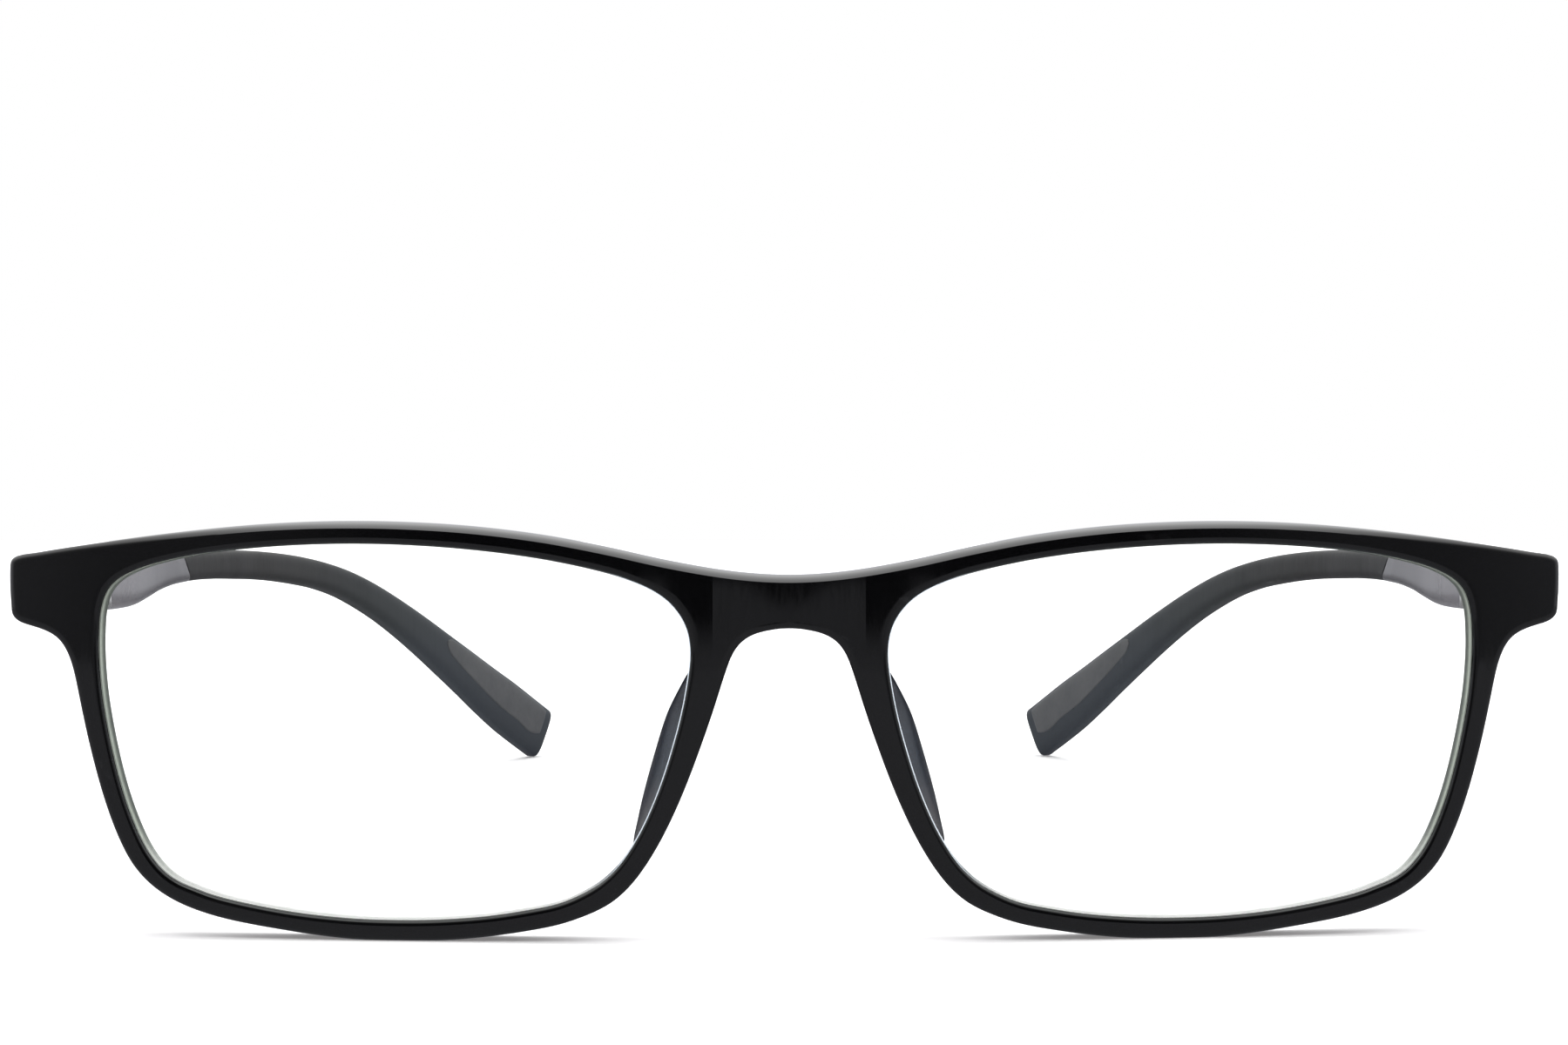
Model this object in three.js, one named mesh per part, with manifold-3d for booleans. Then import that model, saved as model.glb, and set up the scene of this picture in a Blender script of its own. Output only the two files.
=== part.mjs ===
// Full-rim spectacles: moulded front, two bevelled lenses, two nose pads and two folding temples,
// each on a three-barrel hinge.
// Millimetres, +Z up. The front faces -Y, the temples run towards +Y, the wearer's left is +X.
// Shapes are laid out with Y = 0 at the foremost point of the front; the assembly is then moved
// so that its origin lies on the floor plane, halfway between the front and the temple tips.
// Paired parts are modelled for the left side and mirrored for the right.
import * as THREE from 'three';
import { mergeVertices } from 'three/addons/utils/BufferGeometryUtils.js';
import Module from 'manifold-3d';

const { lerp, smoothstep, degToRad } = THREE.MathUtils;
const wasm = await Module();
wasm.setup();

// ---------------------------------------------------------------- shared dimensions
const LENS_CENTRE_X = 34.7;        // optical centre from the middle of the bridge
const CURVE_CENTRE_Z = 18.2;       // height of the front's foremost line
const BUTT_Y = 12.0;               // rear face of each end piece
const GROOVE_MID = 1.3;            // bottom of the lens groove, behind the front face

const PIVOT_X = 63.75;             // hinge axis
const PIVOT_Y = 12.15;
const HINGE_Z = 30.9;              // mid height of the hinge
const LEAF_THICK = 0.8;
const LEAF_Z = [HINGE_Z - 1.5, HINGE_Z + 1.5];
const FRONT_LEAF_Y = 7.9;          // forward end of the front leaf
const TEMPLE_LEAF_END = 20;        // rear end of the temple leaf
const FIT_CLEAR = 0.1;             // play round inset metal parts
const LEAF_POCKET_Z = [LEAF_Z[0] - FIT_CLEAR, LEAF_Z[1] + FIT_CLEAR];
const TEMPLE_IN = 65.2;            // inner face of the temple at the hinge
const MIDDLE_Y = 77.11;            // half the depth of the open assembly

// ---------------------------------------------------------------- mesh helpers
const toGeometry = (verts, faces) => {
  const geometry = new THREE.BufferGeometry();
  const positions = new Float32Array(verts.flat());
  geometry.setAttribute('position', new THREE.BufferAttribute(positions, 3));
  geometry.setIndex(faces.flat());
  return geometry;
};

const signedVolume = (verts, faces) => {
  let sum = 0;
  for (const [a, b, c] of faces) {
    const [p, q, r] = [verts[a], verts[b], verts[c]];
    sum += p[0] * (q[1] * r[2] - q[2] * r[1])
      - p[1] * (q[0] * r[2] - q[2] * r[0])
      + p[2] * (q[0] * r[1] - q[1] * r[0]);
  }
  return sum / 6;
};

const outward = (verts, faces) => (
  signedVolume(verts, faces) < 0 ? faces.map(([a, b, c]) => [a, c, b]) : faces
);

// left part to right part, with the winding put right
const mirror = (geometry) => {
  geometry.scale(-1, 1, 1);
  const index = geometry.getIndex().array;
  for (let k = 0; k < index.length; k += 3) {
    [index[k + 1], index[k + 2]] = [index[k + 2], index[k + 1]];
  }
  return geometry;
};

// geometry to Manifold solid, welded by position alone
const solid = (geometry) => {
  for (const name of Object.keys(geometry.attributes)) {
    if (name !== 'position') geometry.deleteAttribute(name);
  }
  const welded = mergeVertices(geometry, 1e-4);
  return new wasm.Manifold(new wasm.Mesh({
    numProp: 3,
    vertProperties: new Float32Array(welded.attributes.position.array),
    triVerts: new Uint32Array(welded.index.array),
  }));
};

// Manifold solid back to geometry
const shell = (body) => {
  const mesh = body.getMesh();
  const geometry = new THREE.BufferGeometry();
  const positions = new Float32Array(mesh.vertProperties);
  geometry.setAttribute('position', new THREE.BufferAttribute(positions, 3));
  geometry.setIndex(new THREE.BufferAttribute(new Uint32Array(mesh.triVerts), 1));
  return geometry;
};

// side faces through a row of closed rings of equal size
const ringFaces = (ringCount, size) => {
  const faces = [];
  for (let i = 0; i < ringCount - 1; i++) {
    for (let j = 0; j < size; j++) {
      const a = i * size + j;
      const b = i * size + (j + 1) % size;
      faces.push([a, b, b + size], [a, b + size, a + size]);
    }
  }
  return faces;
};

// closed body through a row of rings, with flat ends
const loft = (rings) => {
  const size = rings[0].length;
  const verts = rings.flat();
  const faces = ringFaces(rings.length, size);
  const last = (rings.length - 1) * size;
  for (let j = 1; j < size - 1; j++) faces.push([0, j + 1, j]);
  for (let j = 1; j < size - 1; j++) faces.push([last, last + j, last + j + 1]);
  return toGeometry(verts, outward(verts, faces));
};

// box from [low, high] pairs
const block = (x, y, z) => new THREE.BoxGeometry(x[1] - x[0], y[1] - y[0], z[1] - z[0])
  .translate((x[0] + x[1]) / 2, (y[0] + y[1]) / 2, (z[0] + z[1]) / 2);

const solidBlock = (x, y, z) => solid(block(x, y, z));

// evenly spaced values from start to end, both included
const range = (start, end, steps) => (
  Array.from({ length: steps + 1 }, (_, i) => lerp(start, end, i / steps))
);

// ---------------------------------------------------------------- outlines of the front
// outer outline of one half, [x, z], from the middle of the bridge's top round to its underside
const OUTLINE = [
  [0,31.97], [2.98,32.09], [5.97,32.42], [8.96,32.92], [11.95,33.52], [14.94,34.2],
  [17.95,34.83], [20.96,35.39], [23.96,35.83], [26.97,36.18], [29.98,36.44], [32.99,36.61],
  [35.99,36.71], [39,36.73], [42.01,36.68], [45.01,36.55], [48.02,36.35], [51.02,36.08],
  [54.02,35.76], [57.02,35.4], [60.02,35], [63.02,34.58], [66.02,34.14], [68.42,33.79],
  [69.45,33.6], [70.05,33.2], [70.18,32.51], [70.16,31.5], [70.07,30.19], [69.96,29.09],
  [69.84,28.38], [69.35,27.83], [68.18,27.38], [66.42,26.85], [65.3,26.2], [64.5,25.2],
  [63.93,23.9], [63.42,21.99], [62.9,19.69], [62.32,17.25], [61.7,14.9], [60.99,12.49],
  [60.15,10.09], [59.11,7.73], [58.35,6.42], [57.3,5.15], [55.89,3.98], [54.04,2.95],
  [52,2.19], [49.44,1.54], [46.31,1], [43.5,0.59], [40.5,0.22], [37.5,-0.02],
  [34.5,-0.06], [31.5,-0.04], [28.4,0.13], [25.5,0.46], [22.38,0.94], [19.97,1.45],
  [17.95,2.13], [15.62,3.28], [14.07,4.61], [12.3,6.93], [10.89,9.39], [9.73,11.84],
  [8.73,14.26], [7.82,16.72], [7,19.06], [6.22,21.47], [5.49,23.73], [5,24.94],
  [4.49,25.75], [3.85,26.35], [2.96,26.81], [1.97,27.08], [0.99,27.24], [0,27.29],
];
// lens opening of the same half, [x, z], clockwise seen from the front, from the upper nasal corner
const OPENING = [
  [9.58,28.48], [10.6,29.67], [11.96,30.63], [13.45,31.33], [15.04,31.92], [17.9,32.69],
  [21.1,33.34], [25.46,33.99], [29.84,34.43], [34.48,34.7], [39.03,34.77], [43.52,34.64],
  [47.93,34.34], [52.51,33.75], [55.54,33.14], [57.14,32.7], [58.62,32.13], [59.84,31.44],
  [60.68,30.56], [61.14,29.48], [61.35,28.39], [61.42,27.15], [61.42,25.4], [61.32,23.7],
  [61.1,21.57], [60.7,19.15], [60.19,16.7], [59.59,14.27], [58.88,11.93], [57.97,9.58],
  [57.16,7.93], [56.21,6.53], [55.04,5.38], [53.81,4.66], [52.55,4.18], [51.12,3.69],
  [49.44,3.27], [46.35,2.68], [43.51,2.25], [40.48,1.93], [37.39,1.74], [34.5,1.69],
  [31.51,1.73], [28.52,1.9], [25.54,2.2], [22.45,2.7], [21.06,2.97], [19.55,3.41],
  [17.98,4.12], [16.6,4.95], [15.63,5.78], [14.87,6.58], [13.89,7.95], [12.97,9.55],
  [11.91,11.84], [11.03,14.15], [10.24,16.66], [9.57,19.12], [9.08,21.42], [8.79,23.26],
  [8.65,24.7], [8.66,25.59], [8.77,26.48], [8.96,27.22], [9.23,27.87],
];
// matching points of the two outlines: [opening index, outline index, divisions to the next]
const RIM_STATIONS = [
  [1, 0, 4], [4, 4, 5], [10, 13, 4], [14, 19, 4], [17, 24, 2], [18, 26, 2], [20, 30, 2],
  [21, 32, 2], [22, 34, 2], [23, 36, 5], [28, 41, 3], [31, 45, 1], [32, 46, 2], [35, 48, 3],
  [40, 53, 2], [42, 55, 5], [49, 61, 2], [52, 63, 3], [56, 67, 3], [59, 70, 3], [61, 73, 3],
  [62, 77],
];
// up the middle of the bridge: [opening index, share of the bridge height, divisions to the next]
const BRIDGE_STATIONS = [[62, 0, 2], [64, 0.5, 2], [66, 1]];

// second derivatives of a closed cubic spline at its knots, for one coordinate
const splineBends = (values, spans) => {
  const n = values.length;
  const matrix = values.map((value, i) => {
    const before = (i + n - 1) % n;
    const after = (i + 1) % n;
    const row = new Array(n + 1).fill(0);
    row[before] += spans[before];
    row[i] += 2 * (spans[before] + spans[i]);
    row[after] += spans[i];
    row[n] = 6 * ((values[after] - value) / spans[i] - (value - values[before]) / spans[before]);
    return row;
  });
  for (let c = 0; c < n; c++) {
    for (let r = c + 1; r < n; r++) {
      if (matrix[r][c] === 0) continue;
      const factor = matrix[r][c] / matrix[c][c];
      for (let k = c; k <= n; k++) matrix[r][k] -= factor * matrix[c][k];
    }
  }
  const bends = new Array(n).fill(0);
  for (let r = n - 1; r >= 0; r--) {
    let sum = matrix[r][n];
    for (let k = r + 1; k < n; k++) sum -= matrix[r][k] * bends[k];
    bends[r] = sum / matrix[r][r];
  }
  return bends;
};

// closed curve of continuous curvature through [x, z] points; starts holds each point's distance
// along the control polygon
const closedSpline = (points) => {
  const n = points.length;
  const starts = [0];
  points.forEach(([x, z], i) => {
    const [nextX, nextZ] = points[(i + 1) % n];
    starts.push(starts[i] + Math.hypot(nextX - x, nextZ - z));
  });
  const length = starts[n];
  const spans = points.map((_, i) => starts[i + 1] - starts[i]);
  const bends = [0, 1].map((axis) => splineBends(points.map((point) => point[axis]), spans));

  // point and unit normal; the normal points out of a clockwise loop
  const at = (distance) => {
    const d = ((distance % length) + length) % length;
    let i = 0;
    while (i < n - 1 && starts[i + 1] <= d) i++;
    const next = (i + 1) % n;
    const span = spans[i];
    const a = (starts[i + 1] - d) / span;
    const b = 1 - a;
    const [x, z] = bends.map((bend, axis) => (
      a * points[i][axis] + b * points[next][axis]
      + ((a ** 3 - a) * bend[i] + (b ** 3 - b) * bend[next]) * span * span / 6
    ));
    const [dx, dz] = bends.map((bend, axis) => (
      (points[next][axis] - points[i][axis]) / span
      - (3 * a * a - 1) / 6 * span * bend[i] + (3 * b * b - 1) / 6 * span * bend[next]
    ));
    const speed = Math.hypot(dx, dz);
    return { x, z, nx: -dz / speed, nz: dx / speed };
  };
  return { starts, length, at };
};

const outline = closedSpline([
  ...OUTLINE,
  ...OUTLINE.slice(1, -1).reverse().map(([x, z]) => [-x, z]),
]);
const opening = closedSpline(OPENING);

// distance round the opening; an index past the end goes on into a second turn
const openingDistance = (i) => (
  opening.starts[i % OPENING.length] + Math.floor(i / OPENING.length) * opening.length
);

// [point on the opening, value] for every division; measure turns column two into the value
const divide = (stations, measure) => stations.slice(0, -1).flatMap(([i, mark, count], k) => {
  const [nextI, nextMark] = stations[k + 1];
  return Array.from({ length: count }, (_, step) => {
    const t = step / count;
    return [
      opening.at(lerp(openingDistance(i), openingDistance(nextI), t)),
      lerp(measure(mark), measure(nextMark), t),
    ];
  });
});

// one row per station round the opening, reaching out to the outline or to the middle plane
const rows = [
  ...divide(RIM_STATIONS, (i) => outline.starts[i])
    .map(([inner, distance]) => ({ inner, outer: outline.at(distance) })),
  ...divide(BRIDGE_STATIONS, (share) => share).map(([inner, share]) => (
    share === 0
      ? { inner, outer: outline.at(outline.starts[OUTLINE.length - 1]) }
      : { inner, share }
  )),
];

const offset = ({ x, z, nx, nz }, distance) => [x + nx * distance, z + nz * distance];

// ---------------------------------------------------------------- front and back surfaces
const BASE_RADIUS = 175;           // curve of the lenses and of the front, in plan
const VERTICAL_RADIUS = 175;       // curve of the front in height
const FACE_FORM = Math.tan(degToRad(4.5)); // wrap of each half of the front
const BRIDGE_FACET_X = 6.7;        // half width of the flat facet on the bridge
const PLAN_OFFSET = 0.18;          // brings the foremost point of the front to Y = 0
const RIM_DEPTH = 3.0;             // front to back, at the rims
const BRIDGE_EXTRA = 0.5;          // added depth at the middle of the bridge
const BRIDGE_SPREAD = 6;           // how far that depth fades out along X
const LUG_X = [61.9, 63.8];        // the back runs out to the end piece over these spans
const LUG_Z = [24.2, 26.7];

const frontY = (x, z) => {
  const across = Math.max(x, BRIDGE_FACET_X) - LENS_CENTRE_X;
  return FACE_FORM * across + across * across / (2 * BASE_RADIUS) + PLAN_OFFSET
    + (z - CURVE_CENTRE_Z) ** 2 / (2 * VERTICAL_RADIUS);
};
const backY = (x, z) => {
  const bridge = BRIDGE_EXTRA * Math.exp(-((x / BRIDGE_SPREAD) ** 2));
  const lug = smoothstep(x, ...LUG_X) * smoothstep(z, ...LUG_Z);
  return lerp(frontY(x, z) + RIM_DEPTH + bridge, BUTT_Y, lug);
};

// ---------------------------------------------------------------- front frame
const GROOVE_DEPTH = 0.7;          // lens groove, measured into the rim
const GROOVE_FROM = 0.55;          // groove mouth, behind the front face
const GROOVE_TO = 2.05;
const LIP_CHAMFER = 0.45;          // front edge of the lens opening
const LIP_WIDTH = 0.5;
const LIP_MID = { width: 0.22, depth: 0.08 };
const BACK_ROUND = 0.35;
// rear edge of the lens opening, beside the nose and elsewhere, and the X span between the two
const REAR_CHAMFER = { width: [0.3, 0.5], depth: [0.3, 0.72], span: [16, 28] };
const EDGE = { width: 0.6, depth: 0.4 };         // softened outer edge
const TOP_CHAMFER = { width: 0.67, depth: 2.2 }; // long bevel along the top edge
const TOP_NORMAL = [0.3, 0.8];     // upward part of the normal over which the bevel comes in
const TOP_FADE_X = [36, 66];       // where it fades out towards the end piece
const BEVEL_MID_WIDTH = [0.35, 0.26];  // middle point of the edge, as shares: plain, top bevel
const BEVEL_MID_DEPTH = [0.35, 0.46];
const FRONT_SHARES = [1 / 3, 2 / 3];   // points across the two faces, from opening to outline
const BACK_SHARES = [0.78, 0.52, 0.3, 0.12];
const PLANE_SNAP = 0.02;           // points this close to the middle plane are put on it

const NOTCH_X = [61.0, 65.3];      // step in the end piece that clears the hinge barrel
const NOTCH_Y = 10.8;

// the floor plane trims whatever dips under it
const framePoint = (x, y, z) => [Math.abs(x) < PLANE_SNAP ? 0 : x, y, Math.max(z, 0)];
const onFront = ([x, z], depth = 0) => framePoint(x, frontY(x, z) + depth, z);
const onBack = ([x, z], inset = 0) => framePoint(x, backY(x, z) - inset, z);
const between = (from, to, t) => [lerp(from[0], to[0], t), lerp(from[1], to[1], t)];

// outer end of a row: end of the front face, three points round the edge, end of the back face
const outlineEnd = (outer) => {
  const top = smoothstep(outer.nz, ...TOP_NORMAL) * (1 - smoothstep(outer.x, ...TOP_FADE_X));
  const width = lerp(EDGE.width, TOP_CHAMFER.width, top);
  const depth = lerp(EDGE.depth, TOP_CHAMFER.depth, top);
  const rim = offset(outer, 0);
  return {
    front: offset(outer, -width),
    edge: [
      onFront(offset(outer, -width * lerp(...BEVEL_MID_WIDTH, top)),
        depth * lerp(...BEVEL_MID_DEPTH, top)),
      onFront(rim, depth),
      onBack(rim, BACK_ROUND),
    ],
    back: offset(outer, -BACK_ROUND),
  };
};

// outer end of a row on the middle plane, where the two halves join and there is no edge
const bridgeEnd = (share) => {
  const top = OUTLINE[0][1];
  const bottom = OUTLINE.at(-1)[1];
  return {
    front: [0, lerp(bottom + EDGE.width, top - TOP_CHAMFER.width, share)],
    edge: [null, null, null],
    back: [0, lerp(bottom + BACK_ROUND, top - BACK_ROUND, share)],
  };
};

// section of the rim: lip, front face, outer edge, back face, rear chamfer, groove
const rimSection = ({ inner, outer, share }) => {
  const away = smoothstep(inner.x, ...REAR_CHAMFER.span);
  const rearWidth = lerp(...REAR_CHAMFER.width, away);
  const rearDepth = lerp(...REAR_CHAMFER.depth, away);
  const end = outer ? outlineEnd(outer) : bridgeEnd(share);
  const mouth = offset(inner, 0);
  const lip = offset(inner, LIP_WIDTH);
  const rear = offset(inner, rearWidth);
  return [
    onFront(mouth, LIP_CHAMFER),
    onFront(offset(inner, LIP_MID.width), LIP_MID.depth),
    onFront(lip),
    ...FRONT_SHARES.map((t) => onFront(between(lip, end.front, t))),
    onFront(end.front),
    ...end.edge,
    onBack(end.back),
    ...BACK_SHARES.map((t) => onBack(between(rear, end.back, t))),
    onBack(rear),
    onBack(mouth, rearDepth),
    onFront(mouth, GROOVE_TO),
    onFront(offset(inner, GROOVE_DEPTH), GROOVE_MID),
    onFront(mouth, GROOVE_FROM),
  ];
};

// left half, open on the middle plane
const halfFront = () => {
  const rings = rows.map(rimSection);
  const size = rings[0].length;
  const verts = [];
  const faces = [];
  const ids = new Map();
  const idOf = (point) => {
    if (!ids.has(point)) {
      ids.set(point, verts.length);
      verts.push(point);
    }
    return ids.get(point);
  };
  rings.forEach((ring, i) => {
    const next = rings[(i + 1) % rings.length];
    for (let j = 0; j < size; j++) {
      const k = (j + 1) % size;
      const corners = [ring[j], ring[k], next[k], next[j]];
      if (!corners.every(Boolean)) continue;
      const [a, b, c, d] = corners.map(idOf);
      faces.push([a, b, c], [a, c, d]);
    }
  });
  return { verts, faces: outward(verts, faces) };
};

const frontGeometry = () => {
  const half = halfFront();
  const n = half.verts.length;
  const verts = [...half.verts, ...half.verts.map(([x, y, z]) => [-x, y, z])];
  const faces = [...half.faces, ...half.faces.map(([a, b, c]) => [a + n, c + n, b + n])];
  let body = solid(toGeometry(verts, faces));
  const leafPocketX = [TEMPLE_IN - LEAF_THICK - FIT_CLEAR, NOTCH_X[1]];
  const leafPocketY = [FRONT_LEAF_Y - FIT_CLEAR, NOTCH_Y + 0.5];
  for (const sign of [1, -1]) {
    const span = ([low, high]) => (sign > 0 ? [low, high] : [-high, -low]);
    body = body.subtract(solidBlock(span(NOTCH_X), [NOTCH_Y, 13], [24, 36]));
    body = body.subtract(solidBlock(span(leafPocketX), leafPocketY, LEAF_POCKET_Z));
  }
  return shell(body);
};

// ---------------------------------------------------------------- lens, seated in the groove
const LENS_FRONT = 0.42;           // lens face behind the front face of the rim
const LENS_BACK = LENS_FRONT + 1.8;
const LENS_CLEAR = 0.08;           // gap to the opening
const LENS_APEX = 0.56;            // how far the bevel reaches into the groove
const LENS_BEVEL = [0.74, 1.86];   // foot of the bevel, front and back
const LENS_INNER_RING = 0.55;      // share of the way from centre to rim

const lensGeometry = () => {
  const edge = (reach, depth) => rows.map(({ inner }) => {
    const [x, z] = offset(inner, reach);
    return [x, frontY(x, z) + depth, z];
  });
  const innerRing = (depth) => rows.map(({ inner }) => {
    const centre = [LENS_CENTRE_X, CURVE_CENTRE_Z];
    const [x, z] = between(centre, offset(inner, -LENS_CLEAR), LENS_INNER_RING);
    return [x, frontY(x, z) + depth, z];
  });
  const centreY = frontY(LENS_CENTRE_X, CURVE_CENTRE_Z);
  const centrePoint = (depth) => [LENS_CENTRE_X, centreY + depth, CURVE_CENTRE_Z];
  const rings = [
    innerRing(LENS_FRONT),
    edge(-LENS_CLEAR, LENS_FRONT),
    edge(-LENS_CLEAR, LENS_BEVEL[0]),
    edge(LENS_APEX, GROOVE_MID),
    edge(-LENS_CLEAR, LENS_BEVEL[1]),
    edge(-LENS_CLEAR, LENS_BACK),
    innerRing(LENS_BACK),
  ];
  const n = rows.length;
  const verts = [...rings.flat(), centrePoint(LENS_FRONT), centrePoint(LENS_BACK)];
  const faces = ringFaces(rings.length, n);
  const frontCentre = rings.length * n;
  const backCentre = frontCentre + 1;
  const lastRing = frontCentre - n;
  for (let j = 0; j < n; j++) {
    const next = (j + 1) % n;
    faces.push([frontCentre, next, j], [backCentre, lastRing + j, lastRing + next]);
  }
  return toGeometry(verts, outward(verts, faces));
};

// ---------------------------------------------------------------- nose pad
// a fin that flares back and outward: [height, root inner x, root outer x, tip x,
// tip depth behind the rim, half thickness at the tip]
const PAD = [
  [24.3, 7.05, 8.05, 8.15, 0.5, 0.35], [23.2, 6.75, 8.45, 8.75, 1.6, 0.6],
  [21.6, 6.95, 8.7, 9.5, 3.1, 0.8], [19.6, 7.3, 9.2, 10.4, 4.5, 0.92],
  [17.4, 7.95, 9.75, 11.1, 5.4, 0.98], [15.2, 8.75, 10.4, 11.7, 5.8, 1.0],
  [13.0, 9.65, 11.15, 12.3, 5.6, 0.97], [11.0, 10.55, 11.95, 12.8, 4.8, 0.9],
  [9.3, 11.4, 12.75, 13.2, 3.6, 0.78], [8.0, 12.1, 13.35, 13.5, 2.2, 0.6],
  [7.2, 12.75, 13.6, 13.55, 0.9, 0.34],
];
const PAD_GAP = 0.05;              // between the back of the rim and the root
const PAD_BOW = 0.1 / 6;           // outward shift of the flanks, per mm of depth
const PAD_TIP_STEPS = 6;

const padSection = ([z, rootIn, rootOut, tipX, depth, half]) => {
  const rootMid = (rootIn + rootOut) / 2;
  const root = (x) => [x, backY(x, z) + PAD_GAP, z];
  const rootY = root(rootMid)[1];
  const length = Math.hypot(tipX - rootMid, depth);
  const dirX = (tipX - rootMid) / length;
  const dirY = depth / length;
  const centreX = tipX - dirX * half;
  const centreY = rootY + depth - dirY * half;
  const flank = (rootX, side) => [
    lerp(rootX, centreX + side * dirY * half, 0.5) + PAD_BOW * depth,
    lerp(rootY, centreY - side * dirX * half, 0.5),
    z,
  ];
  const tip = range(Math.PI / 2, -Math.PI / 2, PAD_TIP_STEPS).map((angle) => {
    const along = Math.cos(angle) * half;
    const across = Math.sin(angle) * half;
    return [
      centreX + dirX * along + dirY * across,
      centreY + dirY * along - dirX * across,
      z,
    ];
  });
  return [root(rootIn), root(rootMid), root(rootOut), flank(rootOut, 1), ...tip,
    flank(rootIn, -1)];
};
const padGeometry = () => loft(PAD.map(padSection));

// ---------------------------------------------------------------- temple
// [y, centre height, half height, thickness]
const TEMPLE = [
  [12.3, 30.80, 2.66, 4.2], [16, 30.80, 2.68, 4.15], [20, 30.80, 2.70, 4.05],
  [26, 30.79, 2.73, 3.85], [30, 30.87, 2.65, 3.65], [34, 31.15, 2.37, 3.45],
  [38, 31.48, 2.04, 3.3], [43, 31.74, 1.78, 3.15], [50, 31.86, 1.65, 2.95],
  [57, 31.83, 1.63, 2.78], [63.5, 31.70, 1.68, 2.65], [70, 31.48, 1.69, 2.55],
  [76, 31.14, 1.72, 2.5], [82.4, 30.60, 1.76, 2.5], [88.6, 29.86, 1.78, 2.5],
  [95, 28.72, 1.88, 2.5], [101, 27.18, 2.04, 2.5], [107, 25.24, 2.2, 2.52],
  [113, 22.92, 2.42, 2.55], [119, 20.3, 2.7, 2.6], [125, 17.42, 3.02, 2.65],
  [131, 14.4, 3.38, 2.7], [137, 11.2, 3.78, 2.75], [143, 8.05, 4.12, 2.78],
  [152.4, 3.06, 4.17, 2.75],
];
const COLUMN = { height: 1, half: 2, thick: 3 };
const TURN = 0.0019;               // inward turn of the inner face along Y
const TURN_FROM = 32;
const SEAM_Y = 45.9;               // slanted seam between the two temple sections
const SEAM_TILT = -43;             // degrees
const SEAM_BLEND = 10;             // distance over which the sections tilt up to the seam
const SEAM_HALF_GAP = 0.08;
const TIP_TILT = 9;                // degrees, reached over TIP_TILT_Y
const TIP_TILT_Y = [134, 148];
const TIP_Y = TEMPLE.at(-1)[0];
const TIP_ROUND = 1.1;
const TIP_ANGLES = [0, 30, 55, 76];
const RING_POINTS = 16;
const FRONT_POWER = 4.5;           // squareness of the superellipse sections
const REAR_POWER = 3.6;
const FRONT_END_SCALE = 0.95;      // first section, at the hinge
const FRONT_SECTIONS = [TEMPLE[0][0], 12.5, 15, 20, 25, 30, 35, 38.5, 41.5, 44,
  SEAM_Y - SEAM_HALF_GAP];
const REAR_SECTIONS = [SEAM_Y + SEAM_HALF_GAP, 48, 51, 56, 62, 68, 74, 80, 86, 92, 98,
  104, 110, 116, 122, 128, 134, 139, 143.5, 148];
const CORE_Y = [38, 124];          // metal core
const CORE_HALF = { thick: 0.45, height: 0.9 };

// smooth interpolation of a column of the temple table
const templeValue = (y, column) => {
  let i = 0;
  while (i < TEMPLE.length - 2 && TEMPLE[i + 1][0] <= y) i++;
  const slope = (j) => {
    const before = TEMPLE[Math.max(j - 1, 0)];
    const after = TEMPLE[Math.min(j + 1, TEMPLE.length - 1)];
    return (after[column] - before[column]) / (after[0] - before[0]);
  };
  const span = TEMPLE[i + 1][0] - TEMPLE[i][0];
  const t = (y - TEMPLE[i][0]) / span;
  const t2 = t * t;
  const t3 = t2 * t;
  return (2 * t3 - 3 * t2 + 1) * TEMPLE[i][column]
    + (t3 - 2 * t2 + t) * span * slope(i)
    + (-2 * t3 + 3 * t2) * TEMPLE[i + 1][column]
    + (t3 - t2) * span * slope(i + 1);
};
const innerFace = (y) => TEMPLE_IN - TURN * Math.max(y - TURN_FROM, 0) ** 2;

// centre, unit axes and size of the section at y; at(across, rise) is a point of its plane
const templeFrame = (y) => {
  const step = 0.05;
  const thick = templeValue(y, COLUMN.thick);
  const centre = new THREE.Vector3(innerFace(y) + thick / 2, y, templeValue(y, COLUMN.height));
  const along = new THREE.Vector3(
    innerFace(y + step) - innerFace(y - step),
    2 * step,
    templeValue(y + step, COLUMN.height) - templeValue(y - step, COLUMN.height),
  ).normalize();
  const out = new THREE.Vector3(along.y, -along.x, 0).normalize();
  const seamTilt = degToRad(SEAM_TILT
    * smoothstep(SEAM_BLEND - Math.abs(y - SEAM_Y), 0, SEAM_BLEND));
  const tilt = seamTilt + degToRad(TIP_TILT * smoothstep(y, ...TIP_TILT_Y));
  const up = new THREE.Vector3().crossVectors(out, along).normalize()
    .multiplyScalar(Math.cos(tilt)).addScaledVector(along, Math.sin(tilt));
  // a section slanted for the seam is longer, so the temple keeps its height
  const half = templeValue(y, COLUMN.half) / Math.cos(seamTilt);
  const at = (across, rise) => (
    centre.clone().addScaledVector(out, across).addScaledVector(up, rise).toArray()
  );
  return { half, thick, at };
};

const templeRing = (y, { grow = 0, scale = 1 } = {}) => {
  const { half, thick, at } = templeFrame(y);
  const power = 2 / (y < SEAM_Y ? FRONT_POWER : REAR_POWER);
  const rounded = (value) => Math.sign(value) * Math.abs(value) ** power;
  return Array.from({ length: RING_POINTS }, (_, j) => {
    const angle = (j + 0.5) / RING_POINTS * Math.PI * 2;
    return at(
      rounded(Math.cos(angle)) * (thick / 2 + grow) * scale,
      rounded(Math.sin(angle)) * (half + grow) * scale,
    );
  });
};

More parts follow.
